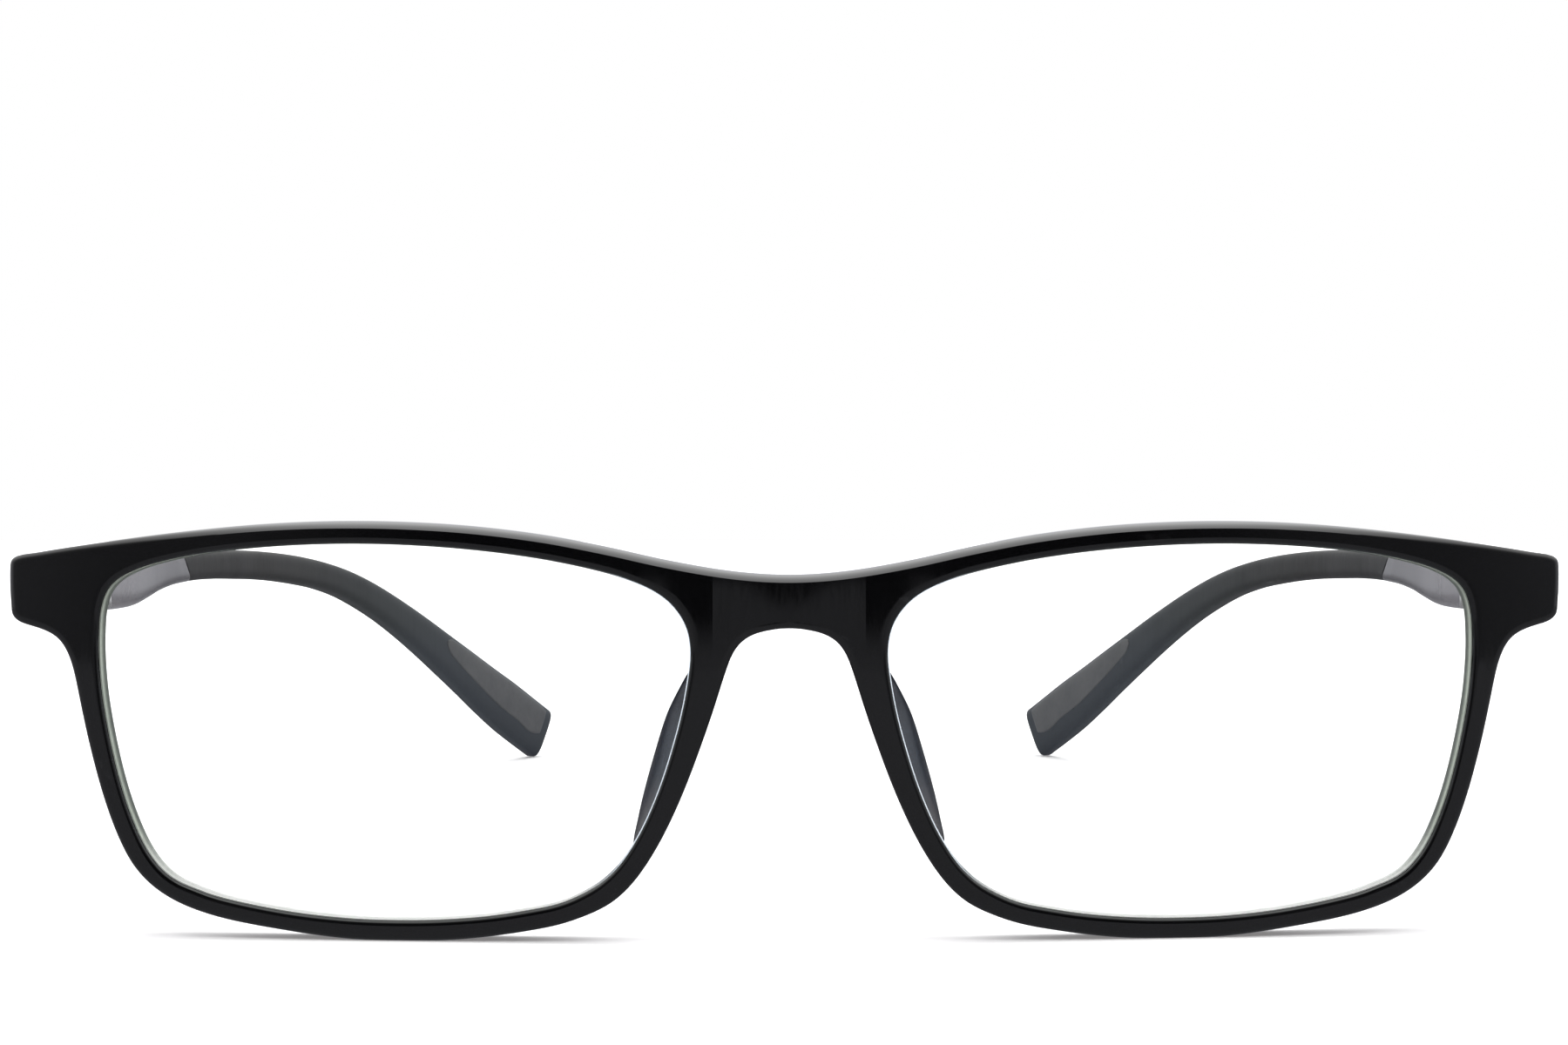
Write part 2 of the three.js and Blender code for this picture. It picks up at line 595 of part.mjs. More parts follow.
// metal strip through both sections; grow makes the larger body that cuts its channel
const coreGeometry = (grow = 0) => {
  const ys = [
    ...range(CORE_Y[0] - grow, SEAM_Y, 3),
    ...range(SEAM_Y, CORE_Y[1] + grow, 20).slice(1),
  ];
  const a = CORE_HALF.thick + grow;
  const b = CORE_HALF.height + grow;
  return loft(ys.map((y) => {
    const { at } = templeFrame(y);
    return [at(-a, -b), at(a, -b), at(a, b), at(-a, b)];
  }));
};

// soft panel on the inner face of the ear tip: [y, lower edge, upper edge], the edges as shares
// of the temple's half height
const GRIP = [
  [123.6, 0.34, 0.56], [124.4, 0.14, 0.72], [126, 0, 0.8], [129, -0.12, 0.84],
  [133, -0.22, 0.85], [137, -0.29, 0.86], [141, -0.31, 0.865], [145, -0.31, 0.865],
  [149, -0.3, 0.85], [150.2, -0.15, 0.8],
];
// proud: height above the inner face; depth: sunk below it; grow: added round the outline
const gripGeometry = ({ proud = 0.1, depth = 0.4, grow = 0 } = {}) => {
  const endShift = (i) => (i === 0 ? -grow : i === GRIP.length - 1 ? grow : 0);
  return loft(GRIP.map(([y, low, high], i) => {
    const { half, thick, at } = templeFrame(y + endShift(i));
    const margin = grow / half;
    const shares = range(low - margin, high + margin, 4);
    const faceX = (h) => -thick / 2 * (1 - Math.abs(h) ** REAR_POWER) ** (1 / REAR_POWER);
    return [
      ...shares.map((h) => at(faceX(h) - proud, h * half)),
      ...shares.map((h) => at(faceX(h) + depth, h * half)).reverse(),
    ];
  }));
};

const templeFrontGeometry = () => {
  const rings = FRONT_SECTIONS.map((y, i) => (
    templeRing(y, { scale: i === 0 ? FRONT_END_SCALE : 1 })
  ));
  const leafPocket = solidBlock([60, TEMPLE_IN + LEAF_THICK], [12, TEMPLE_LEAF_END + 0.2],
    LEAF_POCKET_Z);
  return shell(solid(loft(rings)).subtract(leafPocket).subtract(solid(coreGeometry(FIT_CLEAR))));
};

const templeRearGeometry = () => {
  const tip = TIP_ANGLES.map(degToRad).map((angle) => (
    templeRing(TIP_Y - TIP_ROUND * (1 - Math.sin(angle)),
      { grow: -TIP_ROUND * (1 - Math.cos(angle)) })
  ));
  const rings = [...REAR_SECTIONS.map((y) => templeRing(y)), ...tip];
  const gripRecess = gripGeometry({ proud: 1.0, depth: 0.46, grow: 0.06 });
  return shell(solid(loft(rings))
    .subtract(solid(coreGeometry(FIT_CLEAR)))
    .subtract(solid(gripRecess)));
};

// ---------------------------------------------------------------- hinge
// three barrels, bottom to top: the outer two on the front leaf, the middle one on the temple leaf
const BARRELS = [[-2.15, -0.85], [-0.75, 0.75], [0.85, 2.15]]
  .map((ends) => ends.map((z) => HINGE_Z + z));
const BARREL_R = 1.15;
const BORE_R = 0.62;
const SCREW_R = 0.5;
const SCREW_Z = [28.85, 32.8];
const HEAD_R = 0.76;
const HEAD_Z = [32.58, 33.2];
const SLOT_HALF = 0.12;            // screwdriver slot
const SLOT_FLOOR = 32.98;

const hingeRod = (z, radius, sides) => solid(
  new THREE.CylinderGeometry(radius, radius, z[1] - z[0], sides)
    .rotateX(Math.PI / 2)
    .translate(PIVOT_X, PIVOT_Y, (z[0] + z[1]) / 2),
);
const barrel = (z) => hingeRod(z, BARREL_R, 20);
const bore = () => hingeRod([27, 35], BORE_R, 16);

const frontLeafGeometry = () => {
  const [lower, , upper] = BARRELS;
  const middleGap = [lower[1] + 0.02, upper[0] - 0.02];
  let leaf = solidBlock([TEMPLE_IN - LEAF_THICK, TEMPLE_IN], [FRONT_LEAF_Y, BUTT_Y], LEAF_Z);
  leaf = leaf.subtract(solidBlock([64, 66], [10.6, 13], middleGap));
  for (const z of [lower, upper]) {
    const web = solidBlock([64.0, TEMPLE_IN], [11.05, BUTT_Y], z);
    leaf = leaf.add(barrel(z)).add(web);
  }
  const headSeat = hingeRod([32.5, 34], HEAD_R + FIT_CLEAR, 16);
  return shell(leaf.subtract(bore()).subtract(headSeat));
};

const templeLeafGeometry = () => {
  const middle = BARRELS[1];
  const inner = TEMPLE_IN - 0.1;
  const plate = solidBlock([inner, inner + LEAF_THICK], [12.5, TEMPLE_LEAF_END], LEAF_Z);
  const web = solidBlock([63.9, 65.6], [12.35, 13.3], middle);
  return shell(plate.add(barrel(middle)).add(web).subtract(bore()));
};

const screwGeometry = () => {
  const slot = solidBlock([PIVOT_X - 1, PIVOT_X + 1],
    [PIVOT_Y - SLOT_HALF, PIVOT_Y + SLOT_HALF], [SLOT_FLOOR, 34]);
  const screw = hingeRod(SCREW_Z, SCREW_R, 16).add(hingeRod(HEAD_Z, HEAD_R, 16));
  return shell(screw.subtract(slot));
};

// ---------------------------------------------------------------- materials
const standard = (color, roughness, options = {}) => (
  new THREE.MeshStandardMaterial({ color, roughness, metalness: 0, ...options })
);
const paint = {
  gloss: standard(0x101013, 0.12),
  lens: standard(0xf4f8f4, 0.03, { transparent: true, opacity: 0.25 }),
  pad: standard(0x15171b, 0.2),
  steel: standard(0xb4b6b8, 0.3, { metalness: 1 }),
  arm: standard(0x242328, 0.22),
  satin: standard(0x2f3336, 0.5),
  core: standard(0xa8abad, 0.35, { metalness: 1 }),
  grip: standard(0x55585a, 0.65),
};

// ---------------------------------------------------------------- assembly
// adds a mesh whose own origin is at the given point; its geometry stays where it was modelled
const place = (parent, name, geometry, material, origin) => {
  geometry.translate(-origin.x, -origin.y, -origin.z);
  const mesh = new THREE.Mesh(geometry, material.clone());
  mesh.name = name;
  mesh.position.copy(origin).sub(parent.position);
  parent.add(mesh);
};

const glasses = new THREE.Group();
place(glasses, 'front_frame', frontGeometry(), paint.gloss, new THREE.Vector3());

for (const [side, sign] of [['left', 1], ['right', -1]]) {
  const pivot = new THREE.Vector3(sign * PIVOT_X, PIVOT_Y, HINGE_Z);
  const lensCentre = new THREE.Vector3(sign * LENS_CENTRE_X, 0, CURVE_CENTRE_Z);
  const padOrigin = new THREE.Vector3(sign * 10, 5, 16);
  const temple = new THREE.Group(); // folds about the hinge axis
  temple.position.copy(pivot);
  const add = (parent, name, geometry, material, origin = pivot) => {
    const own = sign > 0 ? geometry : mirror(geometry);
    place(parent, `${name}_${side}`, own, material, origin);
  };
  add(glasses, 'lens', lensGeometry(), paint.lens, lensCentre);
  add(glasses, 'nose_pad', padGeometry(), paint.pad, padOrigin);
  add(glasses, 'hinge_front_leaf', frontLeafGeometry(), paint.steel);
  add(glasses, 'hinge_screw', screwGeometry(), paint.steel);
  glasses.add(temple);
  add(temple, 'hinge_temple_leaf', templeLeafGeometry(), paint.steel);
  add(temple, 'temple_front', templeFrontGeometry(), paint.arm);
  add(temple, 'temple_core', coreGeometry(), paint.core);
  add(temple, 'temple_rear', templeRearGeometry(), paint.satin);
  add(temple, 'ear_grip', gripGeometry(), paint.grip);
}
glasses.position.set(0, -MIDDLE_Y, 0);
export default glasses;
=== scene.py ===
"""Spectacles with a black front, clear lenses and unfolded two-part temples, on a white floor.

Lengths are in mm until add_piece scales them to metres. X runs across and is 0 in the middle,
positive on the wearer's left. Y runs backwards from the front (0) to the temple tips, and
add_piece moves MIDDLE_Y to the world's origin. Z is up, from the floor at 0.
"""
import math

import bmesh
import bpy
import numpy as np
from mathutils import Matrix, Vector


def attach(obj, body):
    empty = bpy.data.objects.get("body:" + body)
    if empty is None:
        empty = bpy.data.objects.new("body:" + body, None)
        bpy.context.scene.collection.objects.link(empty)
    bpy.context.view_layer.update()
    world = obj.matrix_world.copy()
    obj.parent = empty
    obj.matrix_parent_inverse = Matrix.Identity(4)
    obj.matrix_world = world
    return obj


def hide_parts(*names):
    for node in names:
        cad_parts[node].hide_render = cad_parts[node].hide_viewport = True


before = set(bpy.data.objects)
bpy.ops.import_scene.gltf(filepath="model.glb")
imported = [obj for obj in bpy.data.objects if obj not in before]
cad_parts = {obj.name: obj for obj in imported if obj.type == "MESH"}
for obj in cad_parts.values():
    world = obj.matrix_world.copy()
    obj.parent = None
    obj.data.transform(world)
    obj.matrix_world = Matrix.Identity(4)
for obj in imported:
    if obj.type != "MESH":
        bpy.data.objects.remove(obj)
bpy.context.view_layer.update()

# ------------------------------------------------------------------ dimensions
MM = 0.001
MIDDLE_Y = 77.11

# curved front surface: radii in plan and upright, and the slope of each half
PLAN_RADIUS, UPRIGHT_RADIUS = 175.0, 175.0
LENS_X, LENS_Z = 34.7, 18.2
FACE_FORM = math.tan(math.radians(4.5))
FACET_X = 6.7  # the bridge is flat across, out to here
FRONT_OFFSET, FRONT_SHIFT = 0.54, 0.36

# thickness of the front
RIM_DEPTH = 3.0
BRIDGE_EXTRA, BRIDGE_REACH = 0.5, 6
LUG_X, LUG_Z = (61.9, 1.9), (24.2, 2.5)  # where the hinge lug starts, and over how far it grows
BUTT_Y = 12.0  # back of the lug

# groove round the opening: its depth, and where it lies behind the front surface
GROOVE_DEPTH, GROOVE_FROM, GROOVE_MID, GROOVE_TO = 0.7, 0.55, 1.3, 2.05

# rounded edges of the front: W is across the face, D is front to back
LIP_W, LIP_D = 0.5, 0.45
BACK_ROUND = 0.35
TOP_BEVEL_W, TOP_BEVEL_D, TOP_BEVEL_ANGLE = 0.67, 2.2, math.radians(50)
EDGE_W, EDGE_D = 0.6, 0.4
REAR_W, REAR_D = (0.3, 0.5), (0.3, 0.72)  # rear edge of the opening, at the nose and further out
REAR_X = (16, 12)  # where that edge starts to grow, and over how far

LENS_FRONT, LENS_THICK, LENS_CLEAR, LENS_APEX = 0.42, 1.8, 0.04, 0.56
LENS_INSET = LENS_CLEAR + 0.03
LENS_SCALES = [1, 0.985, 0.96, 0.92, 0.87, 0.81, 0.74, 0.66, 0.57, 0.47, 0.36, 0.25, 0.14, 0.05]

PAD_SINK = 0.12  # the pad's root lies this far inside the rim

# hinge, with its vertical pivot
PIVOT_X, PIVOT_Y = 63.75, 12.15
BARREL_R, BARREL_CHAMFER, BORE_R, SCREW_R = 1.15, 0.09, 0.62, 0.5
KNUCKLES = [(28.75, 30.05), (30.15, 31.65), (31.75, 33.05)]
LEAF_Z, LEAF_T = (29.4, 32.4), 0.8
SLOT_Z = (LEAF_Z[0] - 0.1, LEAF_Z[1] + 0.1)
FRONT_LEAF_X = 65.2
NOTCH_X, NOTCH_Y = 65.3, 10.8

# temple: flat inner face that turns inwards, and a slanting seam between its two parts
TEMPLE_IN, TEMPLE_TURN, TEMPLE_TURN_FROM = 65.2, 0.0019, 32.0
TEMPLE_Y, TEMPLE_ROUND = 12.3, 0.28
SEAM_Y, SEAM_TILT, SEAM_BLEND = 45.9, -43.0, 10
TIP_Y, TIP_ROUND = 152.4, 1.1
TIP_TILT, TIP_TILT_Y = 9, (134, 14)
FRONT_POWER, REAR_POWER = 4.5, 3.6  # squareness of the cross-sections
CORE_Y = (38.0, 124.0)
CORE_HALF_W, CORE_HALF_H = 0.45, 0.9
CORE_SLACK = 0.1

# outer edge of the half front, (x, z), from the middle of the top round to the middle below
OUTLINE = [
    [0,31.97],[2.98,32.09],[5.97,32.42],[8.96,32.92],[11.95,33.52],[14.94,34.2],[17.95,34.83],
    [20.96,35.39],[23.96,35.83],[26.97,36.18],[29.98,36.44],[32.99,36.61],[35.99,36.71],[39,36.73],
    [42.01,36.68],[45.01,36.55],[48.02,36.35],[51.02,36.08],[54.02,35.76],[57.02,35.4],[60.02,35],
    [63.02,34.58],[66.02,34.14],[68.42,33.79],[69.45,33.6],[70.05,33.2],[70.18,32.51],[70.16,31.5],
    [70.07,30.19],[69.96,29.09],[69.84,28.38],[69.35,27.83],[68.18,27.38],[66.42,26.85],[65.3,26.2],
    [64.5,25.2],[63.93,23.9],[63.42,21.99],[62.9,19.69],[62.32,17.25],[61.7,14.9],[60.99,12.49],
    [60.15,10.09],[59.11,7.73],[58.35,6.42],[57.3,5.15],[55.89,3.98],[54.04,2.95],[52,2.19],
    [49.44,1.54],[46.31,1],[43.5,0.59],[40.5,0.22],[37.5,-0.02],[34.5,-0.06],[31.5,-0.04],
    [28.4,0.13],[25.5,0.46],[22.38,0.94],[19.97,1.45],[17.95,2.13],[15.62,3.28],[14.07,4.61],
    [12.3,6.93],[10.89,9.39],[9.73,11.84],[8.73,14.26],[7.82,16.72],[7,19.06],[6.22,21.47],
    [5.49,23.73],[5,24.94],[4.49,25.75],[3.85,26.35],[2.96,26.81],[1.97,27.08],[0.99,27.24],
    [0,27.29]]
# lens opening, (x, z), from its upper nose corner over the top and round
OPENING = [
    [9.58,28.48],[10.6,29.67],[11.96,30.63],[13.45,31.33],[15.04,31.92],[17.9,32.69],[21.1,33.34],
    [25.46,33.99],[29.84,34.43],[34.48,34.7],[39.03,34.77],[43.52,34.64],[47.93,34.34],
    [52.51,33.75],[55.54,33.14],[57.14,32.7],[58.62,32.13],[59.84,31.44],[60.68,30.56],
    [61.14,29.48],[61.35,28.39],[61.42,27.15],[61.42,25.4],[61.32,23.7],[61.1,21.57],[60.7,19.15],
    [60.19,16.7],[59.59,14.27],[58.88,11.93],[57.97,9.58],[57.16,7.93],[56.21,6.53],[55.04,5.38],
    [53.81,4.66],[52.55,4.18],[51.12,3.69],[49.44,3.27],[46.35,2.68],[43.51,2.25],[40.48,1.93],
    [37.39,1.74],[34.5,1.69],[31.51,1.73],[28.52,1.9],[25.54,2.2],[22.45,2.7],[21.06,2.97],
    [19.55,3.41],[17.98,4.12],[16.6,4.95],[15.63,5.78],[14.87,6.58],[13.89,7.95],[12.97,9.55],
    [11.91,11.84],[11.03,14.15],[10.24,16.66],[9.57,19.12],[9.08,21.42],[8.79,23.26],[8.65,24.7],
    [8.66,25.59],[8.77,26.48],[8.96,27.22],[9.23,27.87]]
# matching points of OPENING and OUTLINE, and the steps to the next pair; "mid" is halfway up the
# front's middle line
STATIONS = [
    [1,0,4],[4,4,5],[10,13,4],[14,19,4],[17,24,2],[18,26,2],[20,30,2],[21,32,2],[22,34,2],
    [23,36,5],[28,41,3],[31,45,1],[32,46,2],[35,48,3],[40,53,2],[42,55,5],[49,61,2],[52,63,3],
    [56,67,3],[59,70,3],[61,73,3],[62,77,2],[64,"mid",2],[66,0,0]]
FINE = 6  # mesh rows for each step
# temple stations: y, height of the centre, half height, width
TEMPLE = [
    [12.3,30.80,2.66,4.2],[16,30.80,2.68,4.15],[20,30.80,2.70,4.05],[26,30.79,2.73,3.85],
    [30,30.87,2.65,3.65],[34,31.15,2.37,3.45],[38,31.48,2.04,3.3],[43,31.74,1.78,3.15],
    [50,31.86,1.65,2.95],[57,31.83,1.63,2.78],[63.5,31.70,1.68,2.65],[70,31.48,1.69,2.55],
    [76,31.14,1.72,2.5],[82.4,30.60,1.76,2.5],[88.6,29.86,1.78,2.5],[95,28.72,1.88,2.5],
    [101,27.18,2.04,2.5],[107,25.24,2.2,2.52],[113,22.92,2.42,2.55],[119,20.3,2.7,2.6],
    [125,17.42,3.02,2.65],[131,14.4,3.38,2.7],[137,11.2,3.78,2.75],[143,8.05,4.12,2.78],
    [152.4,3.06,4.17,2.75]]
# nose pad stations: z, x of the root's nose side and far side, x of the tip, depth behind the
# rim, radius of the tip
PAD = [
    [24.3,7.05,8.05,8.15,0.5,0.35],[23.2,6.75,8.45,8.75,1.6,0.6],[21.6,6.95,8.7,9.5,3.1,0.8],
    [19.6,7.3,9.2,10.4,4.5,0.92],[17.4,7.95,9.75,11.1,5.4,0.98],[15.2,8.75,10.4,11.7,5.8,1.0],
    [13.0,9.65,11.15,12.3,5.6,0.97],[11.0,10.55,11.95,12.8,4.8,0.9],
    [9.3,11.4,12.75,13.2,3.6,0.78],[8.0,12.1,13.35,13.5,2.2,0.6],[7.2,12.75,13.6,13.55,0.9,0.34]]
# soft panel stations: y, lower and upper edge as shares of the temple's half height
GRIP = [
    [123.6,0.34,0.56],[124.4,0.14,0.72],[126,0,0.8],[129,-0.12,0.84],[133,-0.22,0.85],
    [137,-0.29,0.86],[141,-0.31,0.865],[145,-0.31,0.865],[149,-0.3,0.85],[150.2,-0.15,0.8]]
# screw profile from bottom to top: radius, z
SCREW = [
    (SCREW_R - 0.1, 28.85), (SCREW_R, 28.95), (SCREW_R, 32.58), (0.7, 32.58), (0.76, 32.64),
    (0.76, 33.02), (0.7, 33.12), (0.58, 33.18), (0.4, 33.2)]


# ------------------------------------------------------------------ curves
def smooth(t):
    t = np.clip(t, 0.0, 1.0)
    return t * t * (3 - 2 * t)


def lerp(start, end, t):
    return start + (end - start) * t


def eased(count):
    """Numbers from 0 to 1, closer together towards both ends."""
    return 0.5 - 0.5 * np.cos(np.linspace(0, math.pi, count))


def quarter(count):
    """Angles of a quarter turn."""
    return np.linspace(0, math.pi / 2, count)


def segment(knots, x):
    """Index of the knot at the start of the segment that holds x."""
    return np.clip(np.searchsorted(knots, x, side="right") - 1, 0, len(knots) - 2)


def cubic(left, right, span, start, end, start_bend, end_bend):
    """Spline value from the shares of both ends and their second derivatives."""
    bend = (left**3 - left) * start_bend + (right**3 - right) * end_bend
    return left * start + right * end + bend * span * span / 6


class LoopCurve:
    """Closed cubic spline, parametrised by distance along its control polygon."""

    def __init__(self, points):
        self.points = np.array(points, float)
        count = len(self.points)
        steps = np.roll(self.points, -1, 0) - self.points
        self.spans = np.linalg.norm(steps, axis=1)
        self.knots = np.concatenate([[0], np.cumsum(self.spans)])
        self.length = self.knots[-1]
        before = np.roll(self.spans, 1)
        system = np.zeros((count, count))
        for i in range(count):
            system[i, (i - 1) % count] += before[i]
            system[i, i] += 2 * (before[i] + self.spans[i])
            system[i, (i + 1) % count] += self.spans[i]
        slopes = steps / self.spans[:, None]
        self.bends = np.linalg.solve(system, 6 * (slopes - np.roll(slopes, 1, 0)))

    def at(self, distance):
        """Positions (x, z) and unit normals, outward for a clockwise loop."""
        distance = distance % self.length
        i = segment(self.knots, distance)
        j = (i + 1) % len(self.points)
        span = self.spans[i][:, None]
        left = (self.knots[i + 1] - distance)[:, None] / span
        right = 1 - left
        start, end = self.points[i], self.points[j]
        start_bend, end_bend = self.bends[i], self.bends[j]
        place = cubic(left, right, span, start, end, start_bend, end_bend)
        tangent = (
            (end - start) / span
            - (3 * left * left - 1) / 6 * span * start_bend
            + (3 * right * right - 1) / 6 * span * end_bend
        )
        speed = np.linalg.norm(tangent, axis=1)
        return place, np.stack([-tangent[:, 1] / speed, tangent[:, 0] / speed], 1)


class Spline:
    """Natural cubic spline of table columns against their first column."""

    def __init__(self, table):
        rows = np.array(sorted(table, key=lambda row: row[0]), float)
        self.x, self.y = rows[:, 0], rows[:, 1:]
        self.spans = np.diff(self.x)
        spans, system, bend = self.spans, np.eye(len(rows)), np.zeros_like(self.y)
        slopes = np.diff(self.y, axis=0) / spans[:, None]
        for i in range(1, len(rows) - 1):
            around = [spans[i - 1], 2 * (spans[i - 1] + spans[i]), spans[i]]
            system[i, i - 1 : i + 2] = around
            bend[i] = 6 * (slopes[i] - slopes[i - 1])
        self.bends = np.linalg.solve(system, bend)

    def __call__(self, x):
        i = int(segment(self.x, x))
        span = self.spans[i]
        left, right = (self.x[i + 1] - x) / span, (x - self.x[i]) / span
        ends = self.y[i], self.y[i + 1], self.bends[i], self.bends[i + 1]
        return cubic(left, right, span, *ends)


outline = LoopCurve(OUTLINE + [[-x, z] for x, z in OUTLINE[1:-1][::-1]])
opening = LoopCurve(OPENING)


def front_y(x, z):
    """The front surface: curved in plan and upright, flat across the bridge."""
    across = np.maximum(np.abs(x), FACET_X) - LENS_X
    plan = FACE_FORM * across + across * across / (2 * PLAN_RADIUS) + FRONT_OFFSET - FRONT_SHIFT
    return plan + (z - LENS_Z) ** 2 / (2 * UPRIGHT_RADIUS)


def back_y(x, z):
    """The rear surface: parallel to the front, thicker at the bridge, flat behind the lug."""
    rim = front_y(x, z) + RIM_DEPTH + BRIDGE_EXTRA * np.exp(-((x / BRIDGE_REACH) ** 2))
    lug = smooth((x - LUG_X[0]) / LUG_X[1]) * smooth((z - LUG_Z[0]) / LUG_Z[1])
    return lerp(rim, BUTT_Y, lug)


def top_bevel(x, normal_z):
    """Share of the long top bevel: full where the edge faces up, fading out to the sides."""
    return smooth((normal_z - 0.3) / 0.5) * (1 - smooth((np.abs(x) - 36) / 30))


# ------------------------------------------------------------------ mesh helpers
def mesh_from(verts, faces, material_indices=None):
    me = bpy.data.meshes.new("piece")
    me.from_pydata([tuple(v) for v in verts], [], faces)
    me.update()
    if material_indices is not None:
        me.polygons.foreach_set("material_index", np.asarray(material_indices, np.int32))
    bm = bmesh.new()
    bm.from_mesh(me)
    bmesh.ops.remove_doubles(bm, verts=bm.verts, dist=1e-5)
    bmesh.ops.recalc_face_normals(bm, faces=bm.faces)
    bm.to_mesh(me)
    bm.free()
    return me


def loft(rings):
    """Closed body through equal rings, with a flat cap at each end."""
    count = len(rings[0])
    faces = []
    for i in range(len(rings) - 1):
        for j in range(count):
            here, after = i * count + j, i * count + (j + 1) % count
            faces.append((here, after, after + count, here + count))
    last = (len(rings) - 1) * count
    faces.append(tuple(range(count))[::-1])
    faces.append(tuple(range(last, last + count)))
    return mesh_from(np.concatenate(rings), faces)


def lathe(profile, sides=72):
    """Closed body turned about the hinge pivot: profile is (radius, z) from bottom to top."""
    turn = np.arange(sides) / sides * 2 * math.pi
    rings = []
    for radius, z in profile:
        x, y = PIVOT_X + radius * np.cos(turn), PIVOT_Y + radius * np.sin(turn)
        rings.append(np.stack([x, y, np.full(sides, z)], 1))
    return loft(rings)


def block(xs, ys, zs, radius=0.0, segments=3):
    """Box between pairs of limits, with rounded edges where a radius is given."""
    bm = bmesh.new()
    bmesh.ops.create_cube(bm, size=1.0)
    for v in bm.verts:
        v.co = Vector([lerp(*limits, c + 0.5) for limits, c in zip((xs, ys, zs), v.co)])
    if radius > 0:
        edges = list(bm.edges) + list(bm.verts)
        bmesh.ops.bevel(
            bm, geom=edges, offset=radius, segments=segments, profile=0.5, affect="EDGES"
        )
    bmesh.ops.recalc_face_normals(bm, faces=bm.faces)
    me = bpy.data.meshes.new("block")
    bm.to_mesh(me)
    bm.free()
    return me


def points_of(me):
    points = np.zeros(len(me.vertices) * 3)
    me.vertices.foreach_get("co", points)
    return points.reshape(-1, 3)


def store(me, name, function):
    """Stores a number for every point, worked out from its position in mm."""
    layer = me.attributes.new(name, "FLOAT", "POINT")
    values = [function(*point) for point in points_of(me)]
    layer.data.foreach_set("value", np.array(values, np.float32))
    return me


def combine(me, others, operation):
    """Union or difference of closed meshes, which are used up."""
    parts = []
    for name, part in [("base", me)] + [(f"part_{i}", other) for i, other in enumerate(others)]:
        obj = bpy.data.objects.new(f"work_{name}", part)
        bpy.context.scene.collection.objects.link(obj)
        parts.append(obj)
    base = parts[0]
    for i, part in enumerate(parts[1:]):
        modifier = base.modifiers.new(f"b{i}", "BOOLEAN")
        modifier.operation = operation
        modifier.object = part
        modifier.solver = "MANIFOLD"
    bpy.context.view_layer.update()
    depsgraph = bpy.context.evaluated_depsgraph_get()
    result = bpy.data.meshes.new_from_object(base.evaluated_get(depsgraph))
    for obj in parts:
        data = obj.data
        bpy.data.objects.remove(obj)
        bpy.data.meshes.remove(data)
    return result


def add_piece(name, me, materials, body, node, side=1, angle=32.0, sharpen=None):
    """Scales to metres, mirrors for the right side, shades, and hangs the piece on its body."""
    points = points_of(me)
    points[:, 1] -= MIDDLE_Y
    points *= MM
    points[:, 0] *= side
    me.vertices.foreach_set("co", points.ravel())
    if side < 0:
        me.flip_normals()
    me.name = name
    # clearing also resets the faces' material indices, which the two-material lens needs
    if len(materials) == 1:
        me.materials.clear()
    for material in materials:
        me.materials.append(material)
    me.polygons.foreach_set("use_smooth", np.ones(len(me.polygons), bool))
    me.update()
    me.set_sharp_from_angle(angle=math.radians(angle))
    if sharpen is not None:
        sharpen(me)
    obj = bpy.data.objects.new(name, me)
    bpy.context.scene.collection.objects.link(obj)
    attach(obj, body)
    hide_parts(node)


# ------------------------------------------------------------------ front
def opening_knot(index):
    turns, index = divmod(index, len(OPENING))
    return opening.length * turns + opening.knots[index]


def rim_rows():
    """Matching distances along the opening and the outline, and each row's share of the way
    up the middle line (0 for rows that end on the outline)."""
    inner, outer, shares = [], [], []
    for (in_from, out_from, steps), (in_to, out_to, _) in zip(STATIONS, STATIONS[1:]):
        count = steps * FINE
        for step in range(count):
            t = step / count
            inner.append(lerp(opening_knot(in_from), opening_knot(in_to), t))
            if "mid" in (out_from, out_to):
                outer.append(outline.knots[len(OUTLINE) - 1])
                shares.append(lerp(0.5, 1, t) if out_from == "mid" else lerp(0, 0.5, t))
            else:
                outer.append(lerp(outline.knots[out_from], outline.knots[out_to], t))
                shares.append(0.0)
    return np.array(inner), np.array(outer), np.array(shares)


INNER_ROWS, OUTER_ROWS, MIDDLE_SHARE = rim_rows()
INNER, INNER_NORMAL = opening.at(INNER_ROWS)
OUTER, OUTER_NORMAL = outline.at(OUTER_ROWS)
ON_MIDDLE = MIDDLE_SHARE > 0


